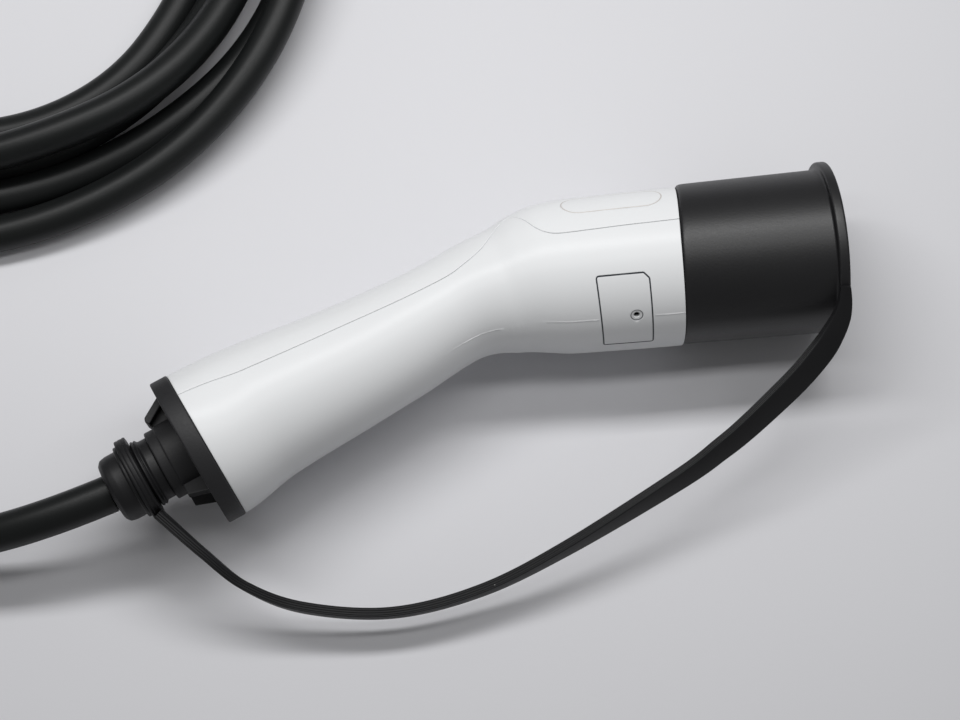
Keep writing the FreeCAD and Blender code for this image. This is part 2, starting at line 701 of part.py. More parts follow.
def pin_contact(y, z, pin, front):
    """Turned pin with a domed tip, a collar held in the block and a crimp barrel."""
    tube = tube_diameter(pin) / 2
    barrel = barrel_radius(pin)
    crimp = core_radius(pin)
    tip = front + PIN_REACH
    radius = pin / 2
    dome = 0.5 * radius
    body = turned([
        (CONTACT_BACK, crimp), (CONTACT_BACK, barrel), (BLOCK_BACK, barrel), (BLOCK_BACK, tube),
        (front, tube), (front, radius), (tip - dome, radius), (tip, radius - dome), (tip, 0.0),
        (CONTACT_BACK + BARREL_LENGTH, 0.0), (CONTACT_BACK + BARREL_LENGTH, crimp),
    ])
    body.translate(Vector(0, y, z))
    return body


def nose_seal():
    """Rubber ring in the groove of the sheath's spur, inside the shells."""
    end = NOSE_LENGTH - 4.0 - FIT
    start = end - NOSE_SEAL_WIDTH + 2 * FIT
    inner = SPUR_DIAMETER / 2 - NOSE_SEAL_DEPTH
    outer = NOSE_DIAMETER / 2 - SKIN_WALL - FIT
    return turned([(start, inner), (start, outer), (end, outer), (end, inner)])


def rounded_path(points, label=""):
    """Straight runs between points, joined by tangent arcs, as one wire."""
    edges = []
    radii = []
    last = points[0]
    for before, corner, after in zip(points, points[1:], points[2:]):
        back = (before - corner).normalize()
        on = (after - corner).normalize()
        half_turn = (math.pi - back.getAngle(on)) / 2
        run = min((corner - before).Length, (after - corner).Length)
        reach = 0.45 * run
        radius = reach / math.tan(half_turn)
        radii.append(radius)
        middle = (back + on).normalize()
        centre = corner + middle * (radius / math.cos(half_turn))
        start = corner + back * reach
        end = corner + on * reach
        edges.append(Part.LineSegment(last, start).toShape())
        edges.append(Part.Arc(start, centre - middle * radius, end).toShape())
        last = end
    edges.append(Part.LineSegment(last, points[-1]).toShape())
    if label:
        print(label, "radii", [round(radius) for radius in radii])
    return Part.Wire(edges)


def tube(points, radius, label=""):
    """Round tube along a rounded path."""
    wire = rounded_path(points, label)
    circle = Part.Circle(points[0], points[1] - points[0], radius)
    solid = wire.makePipeShell([Part.Wire(circle.toShape())], True, True)
    length = wire.Length
    if label:
        ratio = solid.Volume / (math.pi * radius * radius * length)
        print(label, "length", round(length, 1), "volume ratio", round(ratio, 4))
    return solid


def core(y, z, pin, start_y, start_z):
    """Insulated wire from the cable's jacket to a contact's crimp barrel."""
    into = CONTACT_BACK + 0.5 * BARREL_LENGTH
    jacket_end = TAIL_INSIDE - GRIP_LENGTH
    points = [
        around_bend(BEND_ANGLE, jacket_end, start_y, start_z),
        around_bend(BEND_ANGLE, jacket_end + 15.0, start_y, start_z),
        around_bend(BEND_ANGLE, -34.0, 0.5 * y - 2.0, 0.7 * z),
        Vector(-2.0, 0.85 * y - 3.0, 0.85 * z),
        Vector(CONTACT_BACK - 14.0, y, z),
        Vector(into, y, z),
    ]
    return tube(points, core_radius(pin) - FIT)


def coding_resistor():
    """Resistor soldered between the proximity and earth barrels."""
    at = CONTACT_BACK + 3.0
    earth = Vector(at, 0.0, 0.0)
    proximity = Vector(at, SIGNAL_ROW_HEIGHT, SIGNAL_ROW_PITCH / 2)
    along = (proximity - earth).normalize()
    start = earth + along * barrel_radius(POWER_PIN_DIAMETER)
    end = proximity - along * barrel_radius(SIGNAL_PIN_DIAMETER)
    span = (end - start).Length
    wire = Part.makeCylinder(0.35, span, start, along)
    body_length = 0.55 * span
    body = Part.makeCylinder(1.2, body_length, start + along * (0.5 * (span - body_length)), along)
    return wire.fuse(body).removeSplitter()


def cable_clamp():
    """Upper half of the cord clamp, a bridge over the cable."""
    start = -CLAMP_AT - CLAMP_LENGTH / 2
    corner = Vector(start, CLAMP_GAP / 2, -CLAMP_SPAN / 2)
    bar = Part.makeBox(CLAMP_LENGTH, CLAMP_HEIGHT - CLAMP_GAP / 2, CLAMP_SPAN, corner)
    bar = bar.cut(rod(CABLE_DIAMETER / 2, start - 1, start + CLAMP_LENGTH + 1))
    for z in (-CLAMP_SCREW_SPACING / 2, CLAMP_SCREW_SPACING / 2):
        foot = Vector(-CLAMP_AT, 0, z)
        bar = bar.cut(Part.makeCylinder(SCREW_DIAMETER / 2 + FIT, CLAMP_HEIGHT + 1, foot, Vector(0, 1, 0)))
    return on_grip(bar)


def clamp_screws():
    """Two screws through the bridge into the lower shell."""
    group = []
    for z in (-CLAMP_SCREW_SPACING / 2, CLAMP_SCREW_SPACING / 2):
        one = screw(CLAMP_SCREW_LENGTH)
        one.rotate(ORIGIN, Z_AXIS, -90)
        one.translate(Vector(-CLAMP_AT, CLAMP_HEIGHT + SCREW_HEAD_HEIGHT, z))
        group.append(on_grip(one))
    return Part.makeCompound(group)


def dust_cap():
    """Rubber cap: a slightly tapered cup with a lip round its closed end."""
    start = NOSE_LENGTH + CAP_GAP
    end = start + CAP_LENGTH
    inside = SHEATH_DIAMETER / 2 + CAP_GAP
    floor = NOSE_LENGTH + SHEATH_LENGTH + CAP_GAP
    lip = CAP_LIP_DIAMETER / 2
    lip_start = end - CAP_LIP_WIDTH
    dish = floor + CAP_END
    edge = CAP_EDGE
    return turned([
        (start, inside), (start, CAP_OPEN_DIAMETER / 2 - edge), (start + edge, CAP_OPEN_DIAMETER / 2),
        (lip_start, CAP_CLOSED_DIAMETER / 2), (lip_start + edge, lip), (end - edge, lip),
        (end, lip - edge), (end, lip - CAP_DISH), (dish, lip - CAP_DISH - 1.0), (dish, 0.0),
        (floor, 0.0), (floor, inside),
    ])


def strap_ends():
    """Where the strap leaves its ring, and where it meets the lip of the cap."""
    y, z = at_angle(STRAP_RING_DIAMETER / 2, STRAP_ROOT_ANGLE)
    middle = -GLAND_START - STRAP_RING_AT - STRAP_RING_WIDTH / 2
    root = around_bend(BEND_ANGLE, middle, y, z)
    out = around_bend(BEND_ANGLE, 0.0, *at_angle(1.0, STRAP_ROOT_ANGLE))
    lip_y, lip_z = at_angle((CAP_LIP_DIAMETER - STRAP_WIDTH) / 2, STRAP_LIP_ANGLE)
    lip = Vector(NOSE_LENGTH + CAP_GAP + CAP_LENGTH - CAP_LIP_WIDTH / 2, lip_y, lip_z)
    return root, out, lip


def strap_route():
    """Points the strap runs through, from inside its ring to its end on the lip."""
    root, out, lip = strap_ends()
    chord = lip - root
    level = Vector(chord.x, chord.y, 0).normalize()
    aside = level.cross(Z_AXIS)
    points = [root - out * 2.0, root + out * STRAP_ROOT_RUN]
    for part, bow, sag in STRAP_HANG:
        points.append(root + chord * part + aside * (bow * STRAP_BOW) - Z_AXIS * (sag * STRAP_SAG))
    down_y, down_z = at_angle(STRAP_LIP_RUN, STRAP_LIP_ANGLE - 90.0)
    points.append(lip + Vector(-0.2 * STRAP_LIP_RUN, down_y, down_z))
    points.append(lip)
    return points


def tether():
    """Strap ring round the gland nut with the flat strap that runs to the cap's lip."""
    start = -GLAND_START - STRAP_RING_AT
    end = start - STRAP_RING_WIDTH
    inner = GLAND_ROOT_DIAMETER / 2
    outer = STRAP_RING_DIAMETER / 2
    ring = on_grip(turned([
        (start, inner), (start, outer - 0.6), (start - 0.6, outer),
        (end + 0.6, outer), (end, outer - 0.6), (end, inner),
    ]))
    points = strap_route()
    wire = rounded_path(points, "strap")
    along = (points[1] - points[0]).normalize()
    side = along.cross(Z_AXIS).normalize()
    up = side.cross(along).normalize()
    half_side = side * (STRAP_THICKNESS / 2)
    half_up = up * (STRAP_WIDTH / 2)
    corners = [points[0] + half_side + half_up, points[0] - half_side + half_up]
    corners += [points[0] - half_side - half_up, points[0] + half_side - half_up]
    section = Part.makePolygon(corners + [corners[0]])
    sweep = Part.BRepOffsetAPI.MakePipeShell(wire)
    sweep.setBiNormalMode(Z_AXIS)
    sweep.setTransitionMode(1)
    sweep.add(section)
    sweep.build()
    sweep.makeSolid()
    strap = sweep.shape()
    hollow = on_grip(rod(outer - 1.0, end - 20, start + 20))
    cap_room = rod(CAP_LIP_DIAMETER / 2 + FIT, NOSE_LENGTH, NOSE_LENGTH + CAP_LENGTH + STRAP_WIDTH)
    return ring.fuse(strap.cut(hollow).cut(cap_room)).removeSplitter()


def gun():
    """Pieces of the gun that goes into the car, in the connector's frame."""
    lower, upper = shells(inner_parts=True, with_marks=True)
    pieces = {
        "lower_shell": lower,
        "upper_shell": upper,
        "rear_flange": flange(),
        "flange_screws": flange_screws(),
        "gland_nut": gland_nut(),
        "gland_seal": gland_seal(),
        "cable_tail": cable_tail(TAIL_INSIDE),
        "cable_clamp": cable_clamp(),
        "clamp_screws": clamp_screws(),
        "nose_sheath": sheath(),
        "nose_seal": nose_seal(),
        "contact_block": contact_block(BLOCK_FRONT, True),
        "retainer_plate": retainer_plate(),
        "retainer_screws": retainer_screws(),
        "coding_resistor": coding_resistor(),
        "dust_cap": dust_cap(),
        "tether": tether(),
    }
    starts = {"line": (2.6, -3.4), "earth": (-3.2, 0.0), "neutral": (2.6, 3.4), "pilot": (5.2, 0.0)}
    for name, y, z, pin in contact_places():
        pieces["socket_" + name] = socket_contact(y, z, pin)
        if name in starts:
            pieces["core_" + name] = core(y, z, pin, *starts[name])
    return pieces


def plug():
    """Pieces of the plug for the wall socket, in the connector's frame."""
    block_front = BASE_BACK + BASE_THICKNESS + 8.0
    lower, upper = shells(inner_parts=False, with_marks=False)
    pieces = {
        "plug_lower_shell": lower,
        "plug_upper_shell": upper,
        "plug_flange": flange(),
        "plug_flange_screws": flange_screws(),
        "plug_gland_nut": gland_nut(),
        "plug_gland_seal": gland_seal(),
        "plug_cable_tail": cable_tail(SPIGOT_LENGTH),
        "plug_sheath": sheath(),
        "plug_contact_block": contact_block(block_front, False),
    }
    for name, y, z, pin in contact_places():
        pieces["plug_pin_" + name] = pin_contact(y, z, pin, block_front)
    return pieces


def gland_mouth(angle, at):
    """Mouth of a gland nut and the way out of it, for a connector turned and set down."""
    turn = Rotation(Z_AXIS, angle + BEND_ANGLE)
    return at + turn.multVec(Vector(-GLAND_END, 0, 0)), turn.multVec(Vector(-1, 0, 0))


def coil():
    """Outer form of the coil: a low ring with rounded edges."""
    ring = Part.makeCylinder(COIL_OUTER_RADIUS, COIL_HEIGHT)
    ring = ring.cut(Part.makeCylinder(COIL_INNER_RADIUS, COIL_HEIGHT))
    ring = ring.makeFillet(COIL_EDGE, [edge for edge in ring.Edges if len(edge.Vertexes) == 1])
    ring.translate(Vector(COIL_X, COIL_Y, 0))
    return ring


def cords():
    """Free cable: from the gun to the coil, the coil, and from the coil to the plug."""
    radius = CABLE_DIAMETER / 2
    ring = coil()
    mouth, out = gland_mouth(0.0, Vector(0, 0, AXIS_HEIGHT))
    out = Rotation(Z_AXIS, -LEAD_RISE).multVec(out)
    lead_points = [
        mouth,
        mouth + out * 24.0,
        Vector(-206.0, -76.5, 23.0),
        Vector(-240.0, -75.5, 13.0),
        Vector(-278.0, -62.0, 7.0),
        Vector(-318.0, -32.0, 7.0),
        Vector(-348.0, 20.0, 7.0),
        Vector(-364.0, 84.0, 7.0),
        Vector(-366.0, 140.0, 7.0),
        Vector(-362.0, 188.0, 7.0),
    ]
    lead = tube(lead_points, radius, "lead").cut(ring)
    plug_at = Vector(PLUG_X, PLUG_Y, PLUG_HEIGHT)
    plug_mouth, plug_out = gland_mouth(PLUG_TURN, plug_at)
    plug_points = [
        plug_mouth,
        plug_mouth + plug_out * 40.0,
        Vector(-386.0, 250.0, 46.0),
        Vector(-400.0, 206.0, 33.0),
        Vector(-378.0, 152.0, 24.0),
        Vector(-344.0, 112.0, 21.0),
    ]
    plug_lead = tube(plug_points, radius, "plug lead").cut(ring)
    return {"cable_lead": lead, "cable_coil": ring, "plug_cable_lead": plug_lead}


def box_middle(shapes):
    """Middle of the footprint of some shapes."""
    box = FreeCAD.BoundBox()
    for shape in shapes:
        box.add(shape.optimalBoundingBox(False))
    return Vector(box.Center.x, box.Center.y, 0)


def build():
    """Every piece in its place, with the origin under the middle of the gun."""
    gun_pieces = gun()
    for shape in gun_pieces.values():
        shape.translate(Vector(0, 0, AXIS_HEIGHT))
    plug_pieces = plug()
    for shape in plug_pieces.values():
        shape.rotate(ORIGIN, Z_AXIS, PLUG_TURN)
        shape.translate(Vector(PLUG_X, PLUG_Y, PLUG_HEIGHT))
    middle = box_middle(gun_pieces.values())
    print("bend of the gun at", -middle)
    pieces = {**gun_pieces, **plug_pieces, **cords()}
    for shape in pieces.values():
        shape.translate(-middle)
    return pieces


os.makedirs("parts", exist_ok=True)
for node, shape in build().items():
    shape.exportStep("parts/" + node + ".step")
    state = "" if shape.isValid() else "INVALID"
    print(node, "solids", len(shape.Solids), "volume", round(shape.Volume), state)
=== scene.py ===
import math

import bmesh
import bpy
import numpy as np
from mathutils import Matrix, Vector


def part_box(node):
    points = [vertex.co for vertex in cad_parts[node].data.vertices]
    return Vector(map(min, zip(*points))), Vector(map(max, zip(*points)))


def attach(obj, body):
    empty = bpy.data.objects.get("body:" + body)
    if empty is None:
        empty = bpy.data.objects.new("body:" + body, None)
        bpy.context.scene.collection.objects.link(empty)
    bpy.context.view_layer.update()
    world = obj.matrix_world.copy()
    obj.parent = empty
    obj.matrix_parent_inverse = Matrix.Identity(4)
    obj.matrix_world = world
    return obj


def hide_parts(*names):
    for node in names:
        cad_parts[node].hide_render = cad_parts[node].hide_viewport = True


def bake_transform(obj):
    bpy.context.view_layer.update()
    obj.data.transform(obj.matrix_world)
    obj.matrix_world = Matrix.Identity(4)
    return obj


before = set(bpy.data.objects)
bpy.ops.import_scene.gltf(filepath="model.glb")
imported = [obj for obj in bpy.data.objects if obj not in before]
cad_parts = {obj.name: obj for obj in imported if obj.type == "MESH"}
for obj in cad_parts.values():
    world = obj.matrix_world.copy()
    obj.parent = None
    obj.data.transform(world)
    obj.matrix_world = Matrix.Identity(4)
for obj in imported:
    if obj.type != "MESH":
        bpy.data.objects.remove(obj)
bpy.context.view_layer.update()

# Camera. It looks down on the table 75 degrees above the horizon, with a lens long enough that
# the gun lies nearly in plan. The gun's bend, where the axes of nose and grip meet, is the
# point that everything is drawn from, and the cap's end stands a known length in front of it.
MM = 0.001
CAP_END_FROM_BEND = 124.5 * MM
cap_low, cap_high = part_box("dust_cap")
bend = Vector((
    cap_high[0] - CAP_END_FROM_BEND, (cap_low[1] + cap_high[1]) / 2, (cap_low[2] + cap_high[2]) / 2))

CAMERA_ELEVATION = math.radians(75.0)
CAMERA_TURN = math.radians(5.59)
CAMERA_DISTANCE = 740.74 * MM
CAMERA_LENS = 75.0
BEND_RIGHT_OF_MIDDLE = 6.704 * MM
BEND_ABOVE_MIDDLE = 28.444 * MM

cam_right = Vector((math.cos(CAMERA_TURN), -math.sin(CAMERA_TURN), 0))
cam_ahead = Vector((
    math.sin(CAMERA_TURN) * math.cos(CAMERA_ELEVATION),
    math.cos(CAMERA_TURN) * math.cos(CAMERA_ELEVATION),
    -math.sin(CAMERA_ELEVATION)))
cam_up = cam_right.cross(cam_ahead)
camera_data = bpy.data.cameras.new("camera")
camera_data.sensor_width = 36.0
camera_data.lens = CAMERA_LENS
camera_data.clip_start = 0.05
camera_data.clip_end = 20.0
camera = bpy.data.objects.new("camera", camera_data)
bpy.context.scene.collection.objects.link(camera)
aimed = Matrix((cam_right, cam_up, -cam_ahead)).transposed().to_4x4()
stood = bend - CAMERA_DISTANCE * cam_ahead - BEND_RIGHT_OF_MIDDLE * cam_right - BEND_ABOVE_MIDDLE * cam_up
camera.matrix_world = Matrix.Translation(stood) @ aimed
bpy.context.scene.camera = camera

# Cable. A black rubber jacket 14 mm thick, extruded round its cores, about 5 m of it. It leaves
# the gland nut level, sinks to the table within a hand's width, and lies in five loose turns
# that were dropped one by one, the last of them climbing to the plug.
CABLE_DIAMETER = 14.0
LEAD_POINTS = (
    (-146.44, -65.20, 33.0), (-169.27, -72.62, 33.0), (-206.0, -76.5, 23.0), (-240.0, -75.5, 13.0),
    (-278.0, -62.0, 7.0), (-318.0, -32.0, 7.0), (-348.0, 20.0, 7.0), (-364.0, 84.0, 7.0),
    (-366.0, 140.0, 7.0), (-362.0, 188.0, 7.0),
)
COIL_MIDDLE = (-207.0, 200.0)
POINTS_PER_TURN = 20
LAST_COIL_POINT = 97
# Turns so far, radius of the cable's middle and its height above the table
COIL_LAY = np.array((
    (0.00, 154.0, 7.0), (0.25, 152.0, 9.0), (0.50, 150.5, 20.5), (0.572, 153.0, 20.5),
    (0.614, 157.0, 17.0), (0.656, 156.3, 12.0), (0.683, 155.0, 10.0), (0.731, 154.8, 7.0),
    (0.85, 154.7, 7.0),
    (1.00, 140.5, 7.0), (1.25, 141.5, 7.0), (1.50, 149.0, 7.0), (1.594, 149.0, 7.0), (1.636, 144.5, 7.0),
    (1.683, 141.6, 7.0), (1.731, 139.4, 7.0), (1.85, 138.0, 7.0),
    (2.00, 126.5, 7.0), (2.25, 127.0, 7.0), (2.50, 125.0, 7.0), (2.594, 125.8, 9.0), (2.636, 128.8, 13.0),
    (2.683, 130.5, 14.0), (2.731, 126.2, 8.0), (2.85, 124.5, 7.0),
    (3.00, 113.0, 7.0), (3.25, 112.5, 7.0), (3.50, 110.8, 7.0), (3.594, 112.5, 7.0), (3.656, 117.5, 7.0),
    (3.683, 118.0, 7.0), (3.731, 112.8, 7.0), (3.85, 111.0, 8.0),
    (4.00, 119.0, 19.0), (4.10, 124.0, 21.0), (4.25, 128.0, 21.0), (4.50, 131.5, 20.5),
    (4.594, 133.8, 20.5), (4.636, 135.2, 24.5), (4.683, 130.8, 28.0), (4.706, 128.6, 25.5),
    (4.731, 127.2, 22.0), (4.80, 131.0, 21.0), (4.85, 144.0, 21.5),
))
PLUG_LEAD_POINTS = (
    (-344.0, 112.0, 21.0), (-378.0, 152.0, 24.0), (-400.0, 206.0, 33.0), (-386.0, 250.0, 46.0),
    (-350.9, 276.4, 58.0), (-311.80, 284.67, 58.0),
)


def link(name, data):
    """New object that shows a mesh, a curve or a lamp, at the origin."""
    piece = bpy.data.objects.new(name, data)
    bpy.context.scene.collection.objects.link(piece)
    return piece


def coil_points():
    """Points of a flat spiral: the angle falls by one full circle a turn from due left, and radius and
    height follow the table. The radius is raised a little, because the spline runs inside its points."""
    turns = np.arange(1, LAST_COIL_POINT + 1) / POINTS_PER_TURN
    angle = np.pi - 2 * np.pi * turns
    outside = 1 / (0.75 + 0.25 * np.cos(2 * np.pi / POINTS_PER_TURN))
    radius = np.interp(turns, COIL_LAY[:, 0], COIL_LAY[:, 1]) * outside
    height = np.interp(turns, COIL_LAY[:, 0], COIL_LAY[:, 2])
    x = COIL_MIDDLE[0] + radius * np.cos(angle)
    y = COIL_MIDDLE[1] + radius * np.sin(angle)
    return np.stack([x, y, height], axis=1)


cable_route = np.concatenate([np.array(LEAD_POINTS), coil_points(), np.array(PLUG_LEAD_POINTS)]) * MM
cable_route += np.array([bend.x, bend.y, 0.0])
cable_curve = bpy.data.curves.new("cable", "CURVE")
cable_curve.dimensions = "3D"
cable_curve.resolution_u = 12
cable_curve.bevel_depth = CABLE_DIAMETER / 2 * MM
cable_curve.bevel_resolution = 7
cable_curve.use_fill_caps = True
line = cable_curve.splines.new("NURBS")
line.points.add(len(cable_route) - 1)
line.points.foreach_set("co", np.hstack([cable_route, np.ones((len(cable_route), 1))]).reshape(-1))
line.order_u = 3
line.use_endpoint_u = True
line.use_smooth = True
cable = link("cable", cable_curve)


def wired(tree, start, end):
    """Wire one socket to another in a node tree."""
    tree.links.new(start, end)


def grain_group():
    """Fine grain of a moulded or drawn surface: one noise at the grain's own size lifts a bump, and a
    second, far larger one is the slow change of tone over the piece."""
    group = bpy.data.node_groups.new("fine_grain", "ShaderNodeTree")
    for label, value in (
            ("Grains per metre", 2500.0), ("Patches per metre", 60.0), ("Grain height", 0.02 * MM)):
        socket = group.interface.new_socket(name=label, in_out="INPUT", socket_type="NodeSocketFloat")
        socket.default_value = value
    group.interface.new_socket(name="Tone", in_out="OUTPUT", socket_type="NodeSocketFloat")
    group.interface.new_socket(name="Grain", in_out="OUTPUT", socket_type="NodeSocketFloat")
    group.interface.new_socket(name="Normal", in_out="OUTPUT", socket_type="NodeSocketVector")
    enter = group.nodes.new("NodeGroupInput")
    leave = group.nodes.new("NodeGroupOutput")
    where = group.nodes.new("ShaderNodeTexCoord")
    fine = group.nodes.new("ShaderNodeTexNoise")
    fine.inputs["Detail"].default_value = 3.0
    slow = group.nodes.new("ShaderNodeTexNoise")
    slow.inputs["Detail"].default_value = 2.0
    bump = group.nodes.new("ShaderNodeBump")
    for noise, size in ((fine, "Grains per metre"), (slow, "Patches per metre")):
        wired(group, where.outputs["Object"], noise.inputs["Vector"])
        wired(group, enter.outputs[size], noise.inputs["Scale"])
    wired(group, enter.outputs["Grain height"], bump.inputs["Distance"])
    wired(group, fine.outputs["Fac"], bump.inputs["Height"])
    wired(group, slow.outputs["Fac"], leave.inputs["Tone"])
    wired(group, fine.outputs["Fac"], leave.inputs["Grain"])
    wired(group, bump.outputs["Normal"], leave.inputs["Normal"])
    return group


fine_grain = grain_group()
# Sockets of a colour mix: its share of the second colour, the two colours, and its result
MIX_SHARE, MIX_FIRST, MIX_SECOND, MIX_RESULT = 0, 6, 7, 2


def colour_mix(tree, second):
    """Node that mixes a second colour into its first one."""
    mix = tree.nodes.new("ShaderNodeMix")
    mix.data_type = "RGBA"
    mix.inputs[MIX_SECOND].default_value = (*second, 1.0)
    return mix


def finish(
        name, light, dark, roughness, spread=0.08, grains=2500.0, patches=60.0, height=0.02, metallic=0.0,
        shine=0.5):
    """Finish of a grained piece: its colour runs from one tone to another with the slow noise, its
    roughness with the fine one. Returns the material, its tree, its shader and its tone mix."""
    made = bpy.data.materials.new(name)
    made.use_nodes = True
    tree = made.node_tree
    shader = tree.nodes["Principled BSDF"]
    shader.inputs["Metallic"].default_value = metallic
    shader.inputs["Specular IOR Level"].default_value = shine
    grain = tree.nodes.new("ShaderNodeGroup")
    grain.node_tree = fine_grain
    grain.inputs["Grains per metre"].default_value = grains
    grain.inputs["Patches per metre"].default_value = patches
    grain.inputs["Grain height"].default_value = height * MM
    tone = colour_mix(tree, light)
    tone.inputs[MIX_FIRST].default_value = (*dark, 1.0)
    rough = tree.nodes.new("ShaderNodeMapRange")
    rough.inputs["To Min"].default_value = roughness - spread
    rough.inputs["To Max"].default_value = roughness + spread
    wired(tree, grain.outputs["Tone"], tone.inputs[MIX_SHARE])
    wired(tree, tone.outputs[MIX_RESULT], shader.inputs["Base Color"])
    wired(tree, grain.outputs["Grain"], rough.inputs["Value"])
    wired(tree, rough.outputs["Result"], shader.inputs["Roughness"])
    wired(tree, grain.outputs["Normal"], shader.inputs["Normal"])
    return made, tree, shader, tone


jacket_rubber = finish(
    "jacket_rubber", (0.010, 0.011, 0.011), (0.006, 0.007, 0.007), 0.42, 0.06, 1800.0, 25.0, 0.03,
    shine=0.25)[0]
cable_curve.materials.append(jacket_rubber)
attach(cable, "lead")
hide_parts("cable_lead", "cable_coil", "plug_cable_lead")


def dress(made, *nodes):
    """Give carried-over solids a finish."""
    for node in nodes:
        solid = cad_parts[node]
        if not solid.material_slots:
            solid.data.materials.append(made)
        for held in solid.material_slots:
            held.material = made


dress(jacket_rubber, "cable_tail", "plug_cable_tail")

# Wires and contacts inside the gun. The copper cores are insulated in their phase colours and
# crimped into turned, silver plated sockets; a small resistor between two of them tells the
# car which cable it is.
core_brown = finish("core_brown", (0.21, 0.095, 0.045), (0.16, 0.07, 0.03), 0.45)[0]
core_blue = finish("core_blue", (0.05, 0.17, 0.46), (0.035, 0.12, 0.36), 0.45)[0]
core_signal = finish("core_signal", (0.56, 0.56, 0.53), (0.46, 0.46, 0.43), 0.45)[0]
resistor_body = finish("resistor_body", (0.47, 0.34, 0.21), (0.38, 0.27, 0.16), 0.5)[0]


def striped_core():
    """Insulation in two colours: a wave along the wire's length turns the green to yellow and back."""
    made, tree, shader, tone = finish("core_green_yellow", (0.10, 0.42, 0.09), (0.07, 0.33, 0.06), 0.45)
    where = tree.nodes.new("ShaderNodeTexCoord")
    wave = tree.nodes.new("ShaderNodeTexWave")
    wave.bands_direction = "DIAGONAL"
    wave.inputs["Scale"].default_value = 40.0
    edge = tree.nodes.new("ShaderNodeMapRange")
    edge.inputs["From Min"].default_value = 0.55
    edge.inputs["From Max"].default_value = 0.62
    stripe = colour_mix(tree, (0.78, 0.66, 0.06))
    wired(tree, where.outputs["Object"], wave.inputs["Vector"])
    wired(tree, wave.outputs["Fac"], edge.inputs["Value"])
    wired(tree, edge.outputs["Result"], stripe.inputs[MIX_SHARE])
    wired(tree, tone.outputs[MIX_RESULT], stripe.inputs[MIX_FIRST])
    wired(tree, stripe.outputs[MIX_RESULT], shader.inputs["Base Color"])
    return made


core_green_yellow = striped_core()
dress(core_brown, "core_line")
dress(core_blue, "core_neutral")
dress(core_green_yellow, "core_earth")
dress(core_signal, "core_pilot")
dress(resistor_body, "coding_resistor")
silver_plate = finish(
    "silver_plate", (0.80, 0.79, 0.76), (0.62, 0.60, 0.56), 0.24, 0.08, 4000.0, 160.0, 0.006, metallic=1.0)[0]
dress(silver_plate, "socket_line", "socket_earth", "socket_neutral", "socket_pilot", "socket_proximity")

# Contact block, retainer plate, cord clamp, sheath and their screws. They are moulded in black
# glass filled nylon, a little paler where the block carries the contacts, and the screws are
# zinc plated steel.
carrier_nylon = finish(
    "carrier_nylon", (0.060, 0.060, 0.064), (0.042, 0.042, 0.045), 0.55, 0.08, 1500.0, 45.0, 0.02)[0]
black_nylon = finish(
    "black_nylon", (0.013, 0.013, 0.014), (0.008, 0.008, 0.009), 0.46, 0.08, 1600.0, 40.0, 0.03, shine=0.3)[0]
screw_zinc = finish(
    "screw_zinc", (0.60, 0.61, 0.63), (0.42, 0.43, 0.45), 0.34, 0.10, 5000.0, 220.0, 0.01, metallic=1.0)[0]
seal_rubber = finish(
    "seal_rubber", (0.034, 0.034, 0.036), (0.022, 0.022, 0.024), 0.62, 0.06, 1800.0, 50.0, 0.02)[0]
dress(carrier_nylon, "contact_block")
dress(black_nylon, "retainer_plate", "cable_clamp", "nose_sheath")
dress(screw_zinc, "retainer_screws", "clamp_screws", "flange_screws")
dress(seal_rubber, "nose_seal", "gland_seal")

# White shells. Two glossy injection moulded halves, 2.5 mm thick, meet at a seam that runs along
# the grip and climbs to a peak at the bend. The nose carries two pill shaped fields, a blank
# label field with a fine dark frame, a drain hole, and the mould's parting line.
BEND_ANGLE = 24.0
GRIP_END_AT = -121.5
NOSE_END_AT = 68.0
NOSE_RADIUS = 29.3
SHELL_WALL = 2.5
# Place along the axis, turn, drop of the middle, height and width of each section
SECTIONS = np.array((
    (GRIP_END_AT, 24.0, 0.9, 56.9, 58.6), (-99.0, 24.0, -0.3, 52.4, 51.0), (-67.0, 24.0, 0.9, 46.8, 45.0),
    (-44.0, 24.0, 1.4, 43.4, 42.5), (-21.0, 22.6, 1.5, 40.6, 42.5), (0.0, 12.0, 3.7, 46.7, 47.5),
    (8.0, 4.6, 1.8, 51.2, 51.4), (16.0, 0.5, 0.1, 54.9, 54.9), (27.0, 0.0, 0.0, 57.3, 57.3),
    (NOSE_END_AT, 0.0, 0.0, 58.6, 58.6),
))
# Seam between the shells: along the grip as place and height on the grip's axis, then from the
# bend on as place and height on the nose's axis
GRIP_SEAM = np.array((
    (-130.0, 14.4), (-121.5, 13.4), (-111.3, 12.4), (-101.6, 11.0), (-94.5, 10.5), (-75.9, 9.4),
    (-54.8, 8.2), (-33.7, 6.7), (-19.0, 6.2),
))
NOSE_SEAM = np.array((
    (-14.0, 1.3), (-6.5, 6.9), (-2.6, 11.6), (0.7, 16.3), (4.2, 19.9), (6.7, 20.5), (10.6, 17.0),
    (14.2, 12.4), (17.5, 9.8), (22.7, 8.3), (34.7, 8.5), (46.7, 8.9), (57.5, 9.1), (80.0, 9.6),
))
SEAM_GAP = 0.22
SEAM_ROUND = 0.3
# Angle of the seam from the crest for which the columns round a shell are written down
SEAM_REST_ANGLE = 72.5
# Distances from an edge at which rows and columns lie close together, to round it
NEAR_EDGE = np.array((0.0, 0.03, 0.08, 0.16, 0.3))
INNER_COLUMNS = 28
# The marks of the nose begin here, and their grooves deepen over a short way
MARKS_FROM = 20.0
MARKS_EASE = 4.0
# Distance given to whatever lies on another side of the gun than a mark
ELSEWHERE = 99.0
MARK_WIDTH = 0.55
PILL = {"start": 24.9, "end": 61.6, "half": 6.5, "flank": 47.8, "depth": 0.22}
LABEL_DEPTH = 0.3
LABEL_FLANK = -50.0
